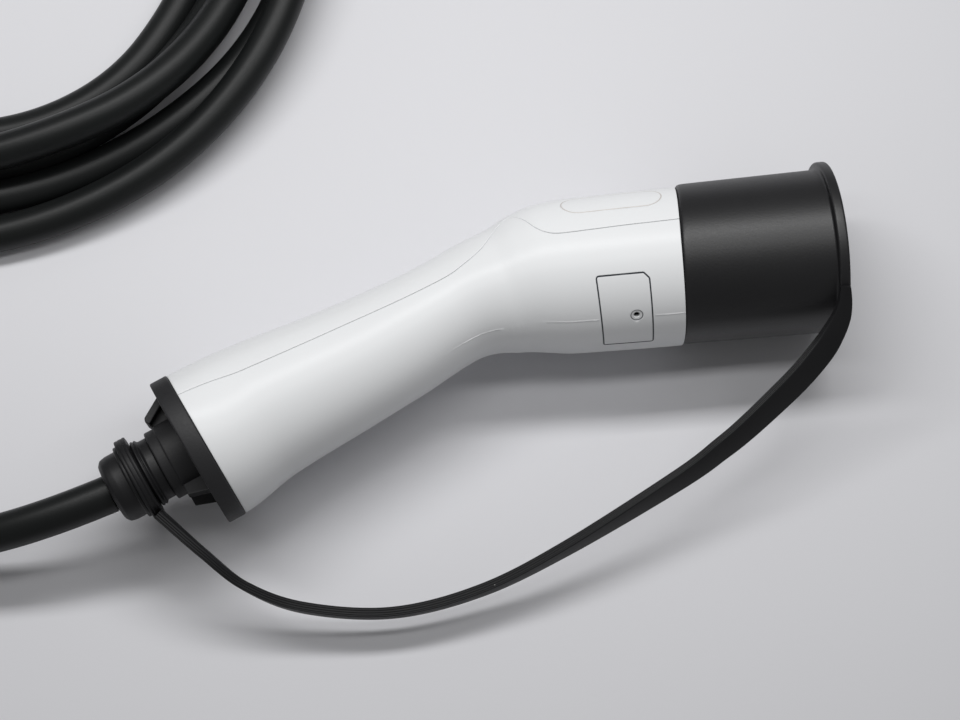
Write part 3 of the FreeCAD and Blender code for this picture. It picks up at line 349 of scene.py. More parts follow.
# Corners of the label field: place along the nose and height up the flank from its middle line
LABEL_CORNERS = np.array((
    (34.85, 14.2), (50.6, 14.2), (52.0, 12.8), (53.0, -14.2), (36.75, -14.2),
))
LABEL_ROUND = 0.9
# Drain hole: its place, and the edge radius, the slope's breadth and the depth of its dish and bore
HOLE = {"at": 47.7, "flank": -50.7, "dish": (2.35, 0.35, 0.35), "bore": (1.12, 0.2, 2.0)}
# Mould line: it fades in along the bend, and out over a short end that stays clear of the label
MOULD_LINE = {
    "flank": -52.0, "from": -34.0, "fade": 12.0, "clear": 0.48, "end": 0.8, "width": 0.6, "height": 0.13}
# The cap's open edge: nearest to the bend a little below the axis, and further off towards the crest
EDGE_NEAREST = (65.5, -13.0)
EDGE_HOLLOW = 0.0018
# The nose stops a little short of that edge, and is drawn in to it from here on
EDGE_GAP = 0.3
DRAWN_FROM = 61.8
# The grip's end leans back by this much at the crest, beginning at a place along the grip
END_TILT = 1.4
TILT_FROM = -105.0


def open_edge(y):
    """Place along the nose of the cap's open edge at a height: a parabola about its nearest point."""
    return EDGE_NEAREST[0] + EDGE_HOLLOW * (y - EDGE_NEAREST[1]) ** 2


def faces_out(mesh):
    """Turn the faces of a mesh outward."""
    turning = bmesh.new()
    turning.from_mesh(mesh)
    bmesh.ops.recalc_face_normals(turning, faces=turning.faces)
    turning.to_mesh(mesh)
    turning.free()


def grid_mesh(
        name, points, closed_across=False, closed_along=False, capped=False, sharp=math.radians(40.0)):
    """Mesh of quads on a grid of points in metres. Rows and columns may join up, and flat faces may
    close the first and last row. Edges sharper than the given angle stay crisp, and faces point outward."""
    rows, columns = points.shape[:2]
    index = np.arange(rows * columns).reshape(rows, columns)
    if closed_across:
        index = np.hstack([index, index[:, :1]])
    if closed_along:
        index = np.vstack([index, index[:1]])
    quads = np.stack([index[:-1, :-1], index[:-1, 1:], index[1:, 1:], index[1:, :-1]], axis=-1)
    quads = quads.reshape(-1, 4)
    ends = [index[0, :columns][::-1], index[-1, :columns]] if capped else []
    corners = np.concatenate([quads.reshape(-1), *ends]).astype(np.int32)
    sizes = np.array([4] * len(quads) + [columns] * len(ends), dtype=np.int32)
    mesh = bpy.data.meshes.new(name)
    mesh.vertices.add(rows * columns)
    mesh.vertices.foreach_set("co", points.reshape(-1).astype(np.float32))
    mesh.loops.add(len(corners))
    mesh.loops.foreach_set("vertex_index", corners)
    mesh.polygons.add(len(sizes))
    mesh.polygons.foreach_set("loop_start", np.concatenate([[0], np.cumsum(sizes)[:-1]]).astype(np.int32))
    mesh.polygons.foreach_set("use_smooth", np.ones(len(sizes), dtype=bool))
    mesh.update(calc_edges=True)
    mesh.validate()
    faces_out(mesh)
    mesh.set_sharp_from_angle(angle=sharp)
    return mesh


def on_gun(points):
    """Points in millimetres from the bend, as metres in the part's frame."""
    return points * MM + np.array(bend)


def graded(*spans):
    """Rising numbers from spans given as start, end and step, each span without its end."""
    return np.concatenate([np.arange(start, end - step * 0.3, step) for start, end, step in spans])


def eased(at):
    """Turn, drop, height and width of the skin at places along it: a cubic between the rows of the
    section table, whose slope at a row is the harmonic mean of the rises beside it, or level at a crest."""
    knots, values = SECTIONS[:, 0], SECTIONS[:, 1:]
    rise = np.diff(values, axis=0) / np.diff(knots)[:, None]
    product = rise[:-1] * rise[1:]
    total = np.where(product > 0, rise[:-1] + rise[1:], 1.0)
    slope = np.zeros_like(values)
    slope[1:-1] = np.where(product > 0, 2 * product / total, 0.0)
    low = np.clip(np.searchsorted(knots, at, side="right") - 1, 0, len(knots) - 2)
    span = (knots[low + 1] - knots[low])[:, None]
    part = (at - knots[low])[:, None] / span
    value = values[low] + (values[low + 1] - values[low]) * part ** 2 * (3 - 2 * part)
    value += slope[low] * span * part * (1 - part) ** 2 - slope[low + 1] * span * part ** 2 * (1 - part)
    return value.T


def smooth_line(points, steps):
    """Curve through points: on each run a cubic whose end slopes are half the step between the
    neighbours on either side."""
    ends = np.concatenate([[2 * points[0] - points[1]], points, [2 * points[-1] - points[-2]]])
    before, start, end, after = (ends[i:len(ends) - 3 + i, None] for i in range(4))
    t = np.linspace(0, 1, steps, endpoint=False)[None, :, None]
    run = start + 0.5 * t * (end - before)
    run = run + t ** 2 * (before - 2.5 * start + 2 * end - 0.5 * after)
    run = run + t ** 3 * (1.5 * (start - end) + 0.5 * (after - before))
    return np.concatenate([run.reshape(-1, points.shape[1]), points[-1:]])


def seam_angle(at, turn, drop, height):
    """Angle round the skin from its crest to the seam: the seam's curve is cut by the plane of each
    section, and the height of that point over the section's middle gives the angle's cosine."""
    lean = math.radians(BEND_ANGLE)
    back = np.array([[math.cos(lean), math.sin(lean)], [-math.sin(lean), math.cos(lean)]])
    seam = smooth_line(np.concatenate([GRIP_SEAM @ back, NOSE_SEAM]), 12)
    cosine, sine = np.cos(turn)[:, None], np.sin(turn)[:, None]
    ahead = seam[None, :, 0] * cosine + seam[None, :, 1] * sine - at[:, None]
    over = seam[None, :, 1] * cosine - seam[None, :, 0] * sine
    after = np.argmax(ahead > 0, axis=1)
    row = np.arange(len(at))
    part = ahead[row, after - 1] / (ahead[row, after - 1] - ahead[row, after])
    level = over[row, after - 1] * (1 - part) + over[row, after] * part
    return np.arccos(np.clip((level + drop) / (height / 2), -1, 1))


def groove(distance, width, depth):
    """Depth of a rounded groove on the line where the distance is nought: a raised cosine."""
    part = np.clip(np.abs(distance) / (width / 2), 0, 1)
    return depth * 0.5 * (1 + np.cos(np.pi * part))


def sunk(distance, radius, slope, depth):
    """Depth of a round sinking: it falls evenly to its full depth over the slope inside its radius."""
    return depth * np.clip((radius - distance) / slope, 0, 1)


def edge_drop(distance):
    """How far a rounded edge lies below the skin at a distance from it: a quarter circle."""
    return SEAM_ROUND - np.sqrt(SEAM_ROUND ** 2 - (SEAM_ROUND - np.minimum(distance, SEAM_ROUND)) ** 2)


def elsewhere(flank, middle):
    """Nought on the side of the gun where an angle lies, and a great distance on the other side."""
    return np.where(np.cos(flank - math.radians(middle)) > 0, 0.0, ELSEWHERE)


def pill_distance(at, flank):
    """Distance in millimetres from the outline of a pill: how far a point of the flank, seen square on,
    lies from the pill's middle line, less half its width."""
    across = NOSE_RADIUS * np.sin(flank - math.radians(PILL["flank"]))
    along = at - np.clip(at, PILL["start"] + PILL["half"], PILL["end"] - PILL["half"])
    return np.hypot(along, across) - PILL["half"] + elsewhere(flank, PILL["flank"])


def label_distance(at, flank):
    """Distance from the outline of the label field, less than nought inside. Seen square on, it is the
    distance from the nearest side of a smaller field with sharp corners, less the corners' radius."""
    across = NOSE_RADIUS * np.sin(flank - math.radians(LABEL_FLANK))
    inside = np.full(np.broadcast(at, flank).shape, -ELSEWHERE)
    nearest = np.full(inside.shape, ELSEWHERE)
    for corner, side in zip(LABEL_CORNERS, np.roll(LABEL_CORNERS, -1, axis=0) - LABEL_CORNERS):
        long = math.hypot(*side)
        x, y = at - corner[0], across - corner[1]
        part = np.clip((x * side[0] + y * side[1]) / long ** 2, 0, 1)
        nearest = np.minimum(nearest, np.hypot(x - part * side[0], y - part * side[1]))
        inside = np.maximum(inside, (y * side[0] - x * side[1]) / long)
    return np.where(inside < 0, -nearest, nearest) - LABEL_ROUND + elsewhere(flank, LABEL_FLANK)


def hole_distance(at, flank):
    """Distance over the skin from the middle of the drain hole."""
    return np.hypot(at - HOLE["at"], NOSE_RADIUS * (flank - math.radians(HOLE["flank"])))


def mould_line_height(at, flank):
    """Fine ridge along both flanks of the nose and out along the bend, left off inside the label."""
    mirrored = np.where(flank < -math.pi / 2, -math.pi - flank, flank)
    distance = NOSE_RADIUS * (mirrored - math.radians(MOULD_LINE["flank"]))
    fade = np.clip((at - MOULD_LINE["from"]) / MOULD_LINE["fade"], 0, 1)
    fade *= np.clip((label_distance(at, flank) - MOULD_LINE["clear"]) / MOULD_LINE["end"], 0, 1)
    return groove(distance, MOULD_LINE["width"], MOULD_LINE["height"]) * fade


def skin_points(at, start, end, inner_part, outer_part, marks):
    """Loop of a shell's wall at each place along the skin: an outer arc whose ends are rounded, then
    the inner arc back. A point of an arc is half the height times the cosine and half the width
    times the sine of its angle from the crest, both made smaller by how deep it lies. The last of the
    nose is drawn in to the cap's edge, and the end of the grip leans back."""
    turn, drop, height, width = (value[:, None] for value in eased(at))
    turn = np.radians(turn)
    radius = (height + width) / 4
    low_edge = start[:, None] + NEAR_EDGE / radius
    high_edge = end[:, None] - NEAR_EDGE[::-1] / radius
    middle = start[:, None] + (end - start)[:, None] * outer_part
    inner = start[:, None] + (end - start)[:, None] * inner_part[::-1]
    around = np.hstack([low_edge, middle, high_edge, inner])
    deep = np.zeros_like(around)
    near, outer = len(NEAR_EDGE), len(NEAR_EDGE) * 2 + len(outer_part)
    deep[:, :near] = edge_drop(NEAR_EDGE)
    deep[:, outer - near:outer] = edge_drop(NEAR_EDGE)[::-1]
    deep = np.maximum(deep, edge_drop(np.minimum(at - at[0], at[-1] - at))[:, None])
    flank = np.pi / 2 - around
    places = np.broadcast_to(at[:, None], around.shape)
    fields = {}
    if marks:
        pills = np.minimum(pill_distance(places, flank), pill_distance(places, np.pi - flank))
        on_grip = ELSEWHERE * (places < MARKS_FROM)
        fields = {
            "pill_line": pills + on_grip, "label_line": label_distance(places, flank) + on_grip,
            "drain_line": hole_distance(places, flank)}
        cut = groove(pills, MARK_WIDTH, PILL["depth"]) * np.clip((places - MARKS_FROM) / MARKS_EASE, 0, 1)
        cut += groove(fields["label_line"], MARK_WIDTH, LABEL_DEPTH)
        cut += sunk(fields["drain_line"], *HOLE["dish"]) + sunk(fields["drain_line"], *HOLE["bore"])
        deep = deep + cut - mould_line_height(places, flank)
    deep[:, outer:] = SHELL_WALL
    y = (height / 2 - deep) * np.cos(around) - drop
    z = (width / 2 - deep) * np.sin(around)
    at_nose = np.clip((places - DRAWN_FROM) / (NOSE_END_AT - DRAWN_FROM), 0, 1) ** 2
    at_grip = np.clip((TILT_FROM - places) / (TILT_FROM - GRIP_END_AT), 0, 1)
    moved = places + (open_edge(y) - EDGE_GAP - NOSE_END_AT) * at_nose
    moved -= END_TILT * (1 + y / NOSE_RADIUS) / 2 * at_grip
    x = moved * np.cos(turn) - y * np.sin(turn)
    y = moved * np.sin(turn) + y * np.cos(turn)
    return np.stack([x, y, z], axis=-1), fields


def white_shell(name, settle, crest_side, marks, body_rows, nose_rows, columns):
    """One half of the white body, from its rows along the skin and its columns round it, in degrees
    from the crest, with its marks if it has them."""
    at = np.concatenate([GRIP_END_AT + NEAR_EDGE, body_rows, nose_rows, NOSE_END_AT - NEAR_EDGE[::-1]])
    turn, drop, height, width = eased(at)
    seam = seam_angle(at, np.radians(turn), drop, height)
    gap = SEAM_GAP / 2 / ((height + width) / 4)
    if crest_side:
        start, end, rest = gap - seam, seam - gap, (-SEAM_REST_ANGLE, SEAM_REST_ANGLE)
    else:
        start, end, rest = seam + gap, 2 * np.pi - seam - gap, (SEAM_REST_ANGLE, 360.0 - SEAM_REST_ANGLE)
    part = (columns - rest[0]) / (rest[1] - rest[0])
    points, fields = skin_points(at, start, end, np.linspace(0, 1, INNER_COLUMNS), part, marks)
    mesh = grid_mesh(name, settle(points), closed_across=True, capped=True, sharp=math.radians(50.0))
    for label, values in fields.items():
        kept = mesh.attributes.new(label, "FLOAT", "POINT")
        kept.data.foreach_set("value", values.reshape(-1).astype(np.float32))
    return link(name, mesh)


# Light and dark tone, roughness and its spread, grains and patches per metre, height of the grain
WHITE_GLOSS = ((0.82, 0.83, 0.84), (0.79, 0.80, 0.81), 0.33, 0.05, 900.0, 18.0, 0.004)
# Lines drawn in the white, and painted shade at the drain hole: the distance that draws each, the distance of
# its middle, how far from there it begins and is full, in millimetres, and its colour
DRAWN_LINES_AND_SHADE = (
    ("pill_line", 0.0, 0.34, 0.10, (0.56, 0.53, 0.50)),
    ("label_line", 0.0, 0.34, 0.20, (0.045, 0.050, 0.060)),
    # Painted shade: the drain hole's bore is painted near black, and a ring of painted shadow lies round its
    # dish
    ("drain_line", 0.0, 1.12, 0.95, (0.02, 0.02, 0.022)),
    ("drain_line", 2.15, 0.24, 0.10, (0.10, 0.10, 0.11)),
)


def reckoned(tree, operation, *sources):
    """Result of a node that reckons with constants and with the sockets that are wired to it."""
    node = tree.nodes.new("ShaderNodeMath")
    node.operation = operation
    for socket, source in zip(node.inputs, sources):
        if isinstance(source, float):
            socket.default_value = source
        else:
            wired(tree, source, socket)
    return node.outputs[0]


def gloss_white():
    """Glossy white plastic. Distances kept on the mesh draw fine lines in it, the pills' faint brown ones and
    the label's dark frame, and paint the drain hole's bore in shade and a ring of painted shadow round its
    dish."""
    made, tree, shader, tone = finish("gloss_white", *WHITE_GLOSS, shine=0.25)
    below = tone
    # Each entry lays its colour over the one below: fine drawn lines, and at the drain hole painted shade
    for label, middle, far, near, colour in DRAWN_LINES_AND_SHADE:
        field = tree.nodes.new("ShaderNodeAttribute")
        field.attribute_name = label
        off = reckoned(tree, "ABSOLUTE", reckoned(tree, "SUBTRACT", field.outputs["Fac"], middle))
        edge = tree.nodes.new("ShaderNodeMapRange")
        edge.inputs["From Min"].default_value = far
        edge.inputs["From Max"].default_value = near
        drawn_line_and_shade = colour_mix(tree, colour)
        wired(tree, off, edge.inputs["Value"])
        wired(tree, edge.outputs["Result"], drawn_line_and_shade.inputs[MIX_SHARE])
        wired(tree, below.outputs[MIX_RESULT], drawn_line_and_shade.inputs[MIX_FIRST])
        below = drawn_line_and_shade
    wired(tree, below.outputs[MIX_RESULT], shader.inputs["Base Color"])
    return made


gloss_white_marks_and_shade = gloss_white()
# Rows along the skin and columns round it lie close together where outlines of marks run
gun_body_rows = graded((GRIP_END_AT + 0.8, -24.0, 1.6), (-24.0, 24.5, 0.75))
upper_nose_rows = graded(
    (24.5, 31.8, 0.2), (31.8, 54.8, 1.6), (54.8, 62.0, 0.2), (62.0, NOSE_END_AT - 0.6, 0.9))
lower_nose_rows = graded(
    (24.5, 33.4, 1.0), (33.4, 37.4, 0.2), (37.4, 45.2, 1.0), (45.2, 54.6, 0.2),
    (54.6, NOSE_END_AT - 0.6, 1.0))
upper_columns = graded(
    (-71.0, -56.0, 2.0), (-56.0, -28.4, 0.4), (-28.4, 28.4, 2.5), (28.4, 56.0, 0.4), (56.0, 71.5, 2.0))
lower_columns = graded(
    (74.0, 107.5, 2.0), (107.5, 115.0, 0.42), (115.0, 135.0, 2.0), (135.0, 145.2, 0.4), (145.2, 166.0, 2.0),
    (166.0, 173.0, 0.42), (173.0, 216.0, 2.2), (216.0, 220.0, 0.4), (220.0, 286.5, 2.2))
upper_shell = white_shell(
    "gun_upper_shell", on_gun, True, True, gun_body_rows, upper_nose_rows, upper_columns)
lower_shell = white_shell(
    "gun_lower_shell", on_gun, False, True, gun_body_rows, lower_nose_rows, lower_columns)
for piece, node in ((upper_shell, "upper_shell"), (lower_shell, "lower_shell")):
    piece.data.materials.append(gloss_white_marks_and_shade)
    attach(piece, "lead")
    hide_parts(node)

# Rear flange. It is moulded in one with its neck and the plates behind it, in black nylon with a
# fine matt grain, closes the grip behind a small shadow gap, and is held by three sunk screws.
FLANGE_FRONT = -121.5
FLANGE_BACK = -128.5
FLANGE_RADIUS = 29.7
FLANGE_GAP = 0.12
# The rim is shorter by this much at the crest. That begins at the spigot's radius and is full a
# little further out
FLANGE_SHORT = 1.8
RIM_FADE = 6.0
SPIGOT_END = -112.5
SPIGOT_RADIUS = 15.0
SPIGOT_BORE = 12.6
NECK_END = -136.3
NECK_RADIUS = 14.0
STEP_END = -140.3
STEP_RADIUS = 13.35
SEAT_END = -134.3
SEAT_RADIUS = 10.1
CABLE_BORE = 7.25
RECESS_RADIUS = 2.95
RECESS_DEPTH = 2.0
RECESS_SEGMENTS = 32
RING_SEGMENTS = 128
SCREW_CIRCLE = 23.4
SCREW_ANGLES = (-12.0, 90.0, 192.0)
# Plates behind the flange: angle, thickness across, and outline as place from its back and radius.
# A sloping one with a rib under it stands at the crest, and two thin webs stand at the belly
GUARD = ((0.5, 23.4), (-8.7, 17.6), (-9.2, 16.2), (-8.2, 14.6), (0.5, 20.2))
RIB = ((0.5, 12.8), (0.5, 20.8), (-8.0, 15.2), (-8.0, 12.8))
WEB = ((1.0, 13.0), (1.0, 21.6), (0.0, 21.6), (-7.8, 18.8), (-7.8, 13.0))
PLATES = ((90.0, 10.0, GUARD), (90.0, 3.0, RIB), (-63.0, 2.4, WEB), (-117.0, 2.4, WEB))
PLATE_EDGE = 0.35


def rounded(corners, reach, steps=4):
    """Open outline whose inner corners are rounded: beside each corner it follows the parabola that
    touches both sides at the given distance from it, or at just under half the side."""
    corners = np.array(corners, dtype=float)
    middle = corners[1:-1]
    back, on = corners[:-2] - middle, corners[2:] - middle
    long_back, long_on = np.hypot(*back.T)[:, None], np.hypot(*on.T)[:, None]
    first = middle + back / long_back * np.minimum(reach, 0.45 * long_back)
    last = middle + on / long_on * np.minimum(reach, 0.45 * long_on)
    t = np.linspace(0, 1, steps)[None, :, None]
    bent = (1 - t) ** 2 * first[:, None] + 2 * t * (1 - t) * middle[:, None] + t ** 2 * last[:, None]
    return np.concatenate([corners[:1], bent.reshape(-1, 2), corners[-1:]])


def lathe(profile, segments):
    """Surface of revolution about X: a corner at x with radius r goes round as r sine and r cosine."""
    around = np.linspace(0, 2 * np.pi, segments, endpoint=False)
    x = np.broadcast_to(profile[:, :1], (len(profile), segments))
    return np.stack([x, profile[:, 1:] * np.sin(around), profile[:, 1:] * np.cos(around)], axis=-1)


def turned(points, angle):
    """Points turned by an angle about the upright line through the origin."""
    x, y = points[..., 0], points[..., 1]
    along = x * math.cos(angle) - y * math.sin(angle)
    aside = x * math.sin(angle) + y * math.cos(angle)
    return np.stack([along, aside, points[..., 2]], axis=-1)


def along_grip(points):
    """Points drawn along the nose's axis, turned about the bend onto the axis of the grip."""
    return turned(points, math.radians(BEND_ANGLE))


def ring_piece(name, settle, corners, reach, short=0.0, tilt=0.0):
    """Turned ring: a closed rounded outline, begun in the middle of its first side, goes round the axis.
    A wide rim may be shorter and stand further back at the crest, by amounts that fall to nought at
    the belly."""
    start = (np.array(corners[0]) + np.array(corners[-1])) / 2
    profile = rounded([start, *corners, start], reach)[:-1]
    points = lathe(profile, RING_SEGMENTS)
    rim = np.clip((profile[:, 1:] - SPIGOT_RADIUS) / RIM_FADE, 0, 1)
    over = (1 + points[..., 1] / FLANGE_RADIUS) / 2
    points[..., 0] -= tilt * over * rim
    points[..., 1] -= short * over * rim
    points = settle(along_grip(points))
    return link(name, grid_mesh(name, points, closed_across=True, closed_along=True))


def applied(piece):
    """Mesh of a piece with its modifiers settled into it."""
    bpy.context.view_layer.update()
    graph = bpy.context.evaluated_depsgraph_get()
    baked = bpy.data.meshes.new_from_object(piece.evaluated_get(graph))
    piece.modifiers.clear()
    old = piece.data
    piece.data = baked
    bpy.data.meshes.remove(old)
    baked.name = piece.name


def flange_body(name, settle):
    """Flange turned with its neck and spigot, with a round recess cut for each screw head."""
    body = ring_piece(name, settle, [
        (SPIGOT_END, SPIGOT_BORE), (SPIGOT_END, SPIGOT_RADIUS), (FLANGE_FRONT, SPIGOT_RADIUS),
        (FLANGE_FRONT - FLANGE_GAP, FLANGE_RADIUS), (FLANGE_BACK, FLANGE_RADIUS), (FLANGE_BACK, NECK_RADIUS),
        (NECK_END, NECK_RADIUS), (NECK_END, STEP_RADIUS), (STEP_END, STEP_RADIUS), (STEP_END, SEAT_RADIUS),
        (SEAT_END, SEAT_RADIUS), (SEAT_END, CABLE_BORE), (FLANGE_FRONT, CABLE_BORE),
        (FLANGE_FRONT, SPIGOT_BORE),
    ], 0.7, short=FLANGE_SHORT, tilt=END_TILT)
    for angle in SCREW_ANGLES:
        y, z = SCREW_CIRCLE * math.sin(math.radians(angle)), SCREW_CIRCLE * math.cos(math.radians(angle))
        profile = np.array([
            (FLANGE_BACK - RECESS_DEPTH, RECESS_RADIUS), (FLANGE_BACK + RECESS_DEPTH, RECESS_RADIUS)])
        points = settle(along_grip(lathe(profile, RECESS_SEGMENTS) + np.array([0.0, y, z])))
        cutter = link("cutter", grid_mesh("cutter", points, closed_across=True, capped=True))
        cut = body.modifiers.new("recess", "BOOLEAN")
        cut.operation = "DIFFERENCE"
        cut.object = cutter
        applied(body)
        bpy.data.objects.remove(cutter)
    body.data.set_sharp_from_angle(angle=math.radians(40.0))
    return body


def flange_webs(name, settle):
    """Plates between flange and neck, each a flat outline given its thickness across."""
    vertices, faces = [], []
    for angle, thickness, corners in PLATES:
        outline = np.array(corners) + np.array([FLANGE_BACK, 0.0])
        count = len(outline)
        out = np.array([0.0, math.sin(math.radians(angle)), math.cos(math.radians(angle))])
        across = np.cross(out, [1.0, 0.0, 0.0])
        flat = outline[:, :1] * np.array([1.0, 0.0, 0.0]) + outline[:, 1:] * out
        base = len(vertices)
        vertices += [*(flat - across * thickness / 2), *(flat + across * thickness / 2)]
        faces += [list(range(base, base + count)), list(range(base + 2 * count - 1, base + count - 1, -1))]
        for i in range(count):
            j = (i + 1) % count
            faces.append([base + i, base + count + i, base + count + j, base + j])
    mesh = bpy.data.meshes.new(name)
    mesh.from_pydata(settle(along_grip(np.array(vertices))).tolist(), [], faces)
    faces_out(mesh)
    webs = link(name, mesh)
    edge = webs.modifiers.new("edge", "BEVEL")
    edge.width = PLATE_EDGE * MM
    edge.segments = 2
    applied(webs)
    return webs


matt_nylon = finish(
    "matt_nylon", (0.022, 0.022, 0.024), (0.014, 0.014, 0.015), 0.55, 0.07, 1400.0, 35.0, 0.05, shine=0.35)[0]
for piece in (flange_body("gun_flange", on_gun), flange_webs("gun_flange_webs", on_gun)):
    piece.data.materials.append(matt_nylon)
    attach(piece, "lead")
    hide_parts("rear_flange")

# Gland nut. A turned black nylon nut that squeezes the seal on the cable: a thin bead with two
# fine lines, a groove for the strap's ring, a step and a rounded mouth.
# Outline of the nut, as distance behind the neck's step and radius
NUT_OUTLINE = (
    (0.0, CABLE_BORE), (0.0, 11.8), (3.3, 11.8), (4.0, 12.8), (4.4, 12.8), (4.7, 12.55), (4.9, 12.55),
    (5.2, 12.95), (5.8, 12.95), (6.2, 11.8), (10.8, 11.8), (10.8, 14.0), (12.2, 14.0), (12.2, 12.7),
    (16.0, 12.7), (18.4, 12.2), (19.7, 10.6), (20.0, 8.7), (20.0, CABLE_BORE),
)


def gland_nut(name, settle):
    """Nut as one turned outline, from its root over the bead and the step to the rounded mouth."""
    return ring_piece(name, settle, [(STEP_END - behind, radius) for behind, radius in NUT_OUTLINE], 0.45)


nut = gland_nut("gun_gland_nut", on_gun)
nut.data.materials.append(black_nylon)
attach(nut, "lead")
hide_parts("gland_nut")

# Strap. One moulding of black rubber: a ring that snaps into the nut's groove, and a flat strap
# that sags from it and twists up to the cap's lip. Its narrow top face has three fine ribs.
STRAP_THICKNESS = 3.5
STRAP_WIDTH = 8.0
STRAP_RIBS = 3
RIB_HEIGHT = 0.16
RIB_FOOT = 0.12
# Outline of the ring in the nut's groove, as distance behind the neck's step and radius
RING_OUTLINE = (
    (6.6, 11.8), (6.6, 15.75), (7.7, 15.75), (7.85, 15.5), (8.0, 15.75), (9.4, 15.75), (9.55, 15.5),
    (9.7, 15.75), (10.8, 15.75), (10.8, 11.8),
)
# Middle line of the strap, in millimetres from the bend, how far its width leans from upright
# there, in degrees, and its breadth, which grows towards the lip and ends as broad as the lip
STRAP_LINE = np.array((
    (-129.8, -74.7, 3.0, -10, 8.0), (-115.0, -90.0, -2.3, -6, 8.0), (-101.3, -102.1, -10.3, -4, 8.0),
    (-81.4, -110.8, -16.8, 0, 8.0), (-49.9, -115.2, -19.8, 0, 8.0), (-17.2, -110.4, -18.8, 3, 8.0),
    (15.3, -98.8, -13.5, 12, 8.0), (58.4, -78.9, -6.0, 32, 8.4), (74.9, -69.7, -1.5, 38, 9.0),
    (84.0, -63.9, 1.0, 41, 9.4), (95.2, -55.7, 4.0, 44, 9.8), (105.0, -48.1, 7.5, 49, 9.8),
    (113.4, -40.2, 11.0, 56, 9.4), (117.5, -35.2, 14.5, 66, 8.2), (120.6, -30.3, 18.5, 78, 6.6),
    (121.9, -25.8, 22.0, 86, 5.0), (122.2, -20.9, 25.5, 90, 3.7),
))


def strap_section():
    """Section across the strap as places in its thickness and its width: a rounded oblong whose two
    narrow ends carry shallow ribs, a cosine wave along the end."""
    half_thick, half_wide, corner = STRAP_THICKNESS / 2, STRAP_WIDTH / 2, 0.5
    end = np.linspace(-half_thick + corner, half_thick - corner, 25)
    rib = RIB_HEIGHT * (1 - np.cos(2 * np.pi * STRAP_RIBS * (end - end[0]) / (end[-1] - end[0]))) / 2
    quarter = np.linspace(0, np.pi / 2, 5)[1:-1]
    bend_in = np.stack([
        half_thick - corner + corner * np.sin(quarter),
        half_wide - corner + corner * np.cos(quarter)], axis=1)
    top = np.stack([end, half_wide - RIB_FOOT + rib], axis=1)
    side = np.array([(half_thick, half_wide - corner), (half_thick, 0.0), (half_thick, corner - half_wide)])
    half = np.concatenate([top, bend_in, side, bend_in[::-1] * [1, -1]])
    return np.concatenate([half, -half])


def strap_points():
    """Sweep: the section is carried along the curve through the strap's middle points. Its width is the
    upright direction, squared to the run and leant about it as the table says, and its thickness is
    square to both."""
    laid = smooth_line(STRAP_LINE, 16)
    line = laid[:, :3]
    run = np.gradient(line, axis=0)
    run /= np.linalg.norm(run, axis=1)[:, None]
    aside = np.cross(run, [0.0, 0.0, 1.0])
    aside /= np.linalg.norm(aside, axis=1)[:, None]
    upright = np.cross(aside, run)
    lean = np.radians(laid[:, 3:4])
    wide = upright * np.cos(lean) - aside * np.sin(lean)
    thick = np.cross(run, wide)
    section = strap_section()
    across = wide[:, None] * section[None, :, 1:] * (laid[:, 4] / STRAP_WIDTH)[:, None, None]
    return line[:, None] + thick[:, None] * section[None, :, :1] + across


def dust_group():
    """Dust: small cells of a crackle pattern whose middle is a speck, kept where a second noise is high."""
    group = bpy.data.node_groups.new("dust", "ShaderNodeTree")
    for label, value in (("Cells per metre", 300.0), ("Speck size", 0.1), ("Share", 0.6)):
        socket = group.interface.new_socket(name=label, in_out="INPUT", socket_type="NodeSocketFloat")
        socket.default_value = value
    group.interface.new_socket(name="Mask", in_out="OUTPUT", socket_type="NodeSocketFloat")
    enter = group.nodes.new("NodeGroupInput")
    leave = group.nodes.new("NodeGroupOutput")
    where = group.nodes.new("ShaderNodeTexCoord")
    cells = group.nodes.new("ShaderNodeTexVoronoi")
    kept = group.nodes.new("ShaderNodeTexNoise")
    kept.inputs["Scale"].default_value = 90.0
    wired(group, where.outputs["Object"], cells.inputs["Vector"])
    wired(group, enter.outputs["Cells per metre"], cells.inputs["Scale"])
    wired(group, where.outputs["Object"], kept.inputs["Vector"])
    speck = reckoned(group, "LESS_THAN", cells.outputs["Distance"], enter.outputs["Speck size"])
    share = reckoned(group, "GREATER_THAN", kept.outputs["Fac"], enter.outputs["Share"])
    wired(group, reckoned(group, "MULTIPLY", speck, share), leave.inputs["Mask"])
    return group


dust = dust_group()
DUST_COLOUR = (0.30, 0.30, 0.29)


def dusty(made, tree, shader, tone, cells, speck, share):
    """Lay light specks of dust over a finish."""
    specks = tree.nodes.new("ShaderNodeGroup")
    specks.node_tree = dust
    specks.inputs["Cells per metre"].default_value = cells
    specks.inputs["Speck size"].default_value = speck
    specks.inputs["Share"].default_value = share
    over = colour_mix(tree, DUST_COLOUR)
    wired(tree, specks.outputs["Mask"], over.inputs[MIX_SHARE])
    wired(tree, tone.outputs[MIX_RESULT], over.inputs[MIX_FIRST])
    wired(tree, over.outputs[MIX_RESULT], shader.inputs["Base Color"])
    return made


strap_finish = finish(
    "strap_rubber", (0.013, 0.013, 0.014), (0.008, 0.008, 0.009), 0.48, 0.06, 1500.0, 40.0, 0.03, shine=0.25)
strap_rubber = dusty(*strap_finish, 260.0, 0.05, 0.62)
strap = link("strap", grid_mesh("strap", on_gun(strap_points()), closed_across=True, capped=True))
strap_ring = ring_piece(
    "strap_ring", on_gun, [(STEP_END - behind, radius) for behind, radius in RING_OUTLINE], 0.5)
for piece in (strap, strap_ring):
    piece.data.materials.append(strap_rubber)
    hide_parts("tether")
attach(strap_ring, "lead")
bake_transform(strap)

# Dust cap. A moulded rubber cup, slightly wider towards its closed end, with a thick lip there
# to pull it by and a dished face. Its open edge is bevelled and a little hollow on the flanks, and
# it grips the nose by its own stretch.
CAP_SEGMENTS = 160
CAP_EDGE_AT = 68.0
CAP_BORE = 28.2
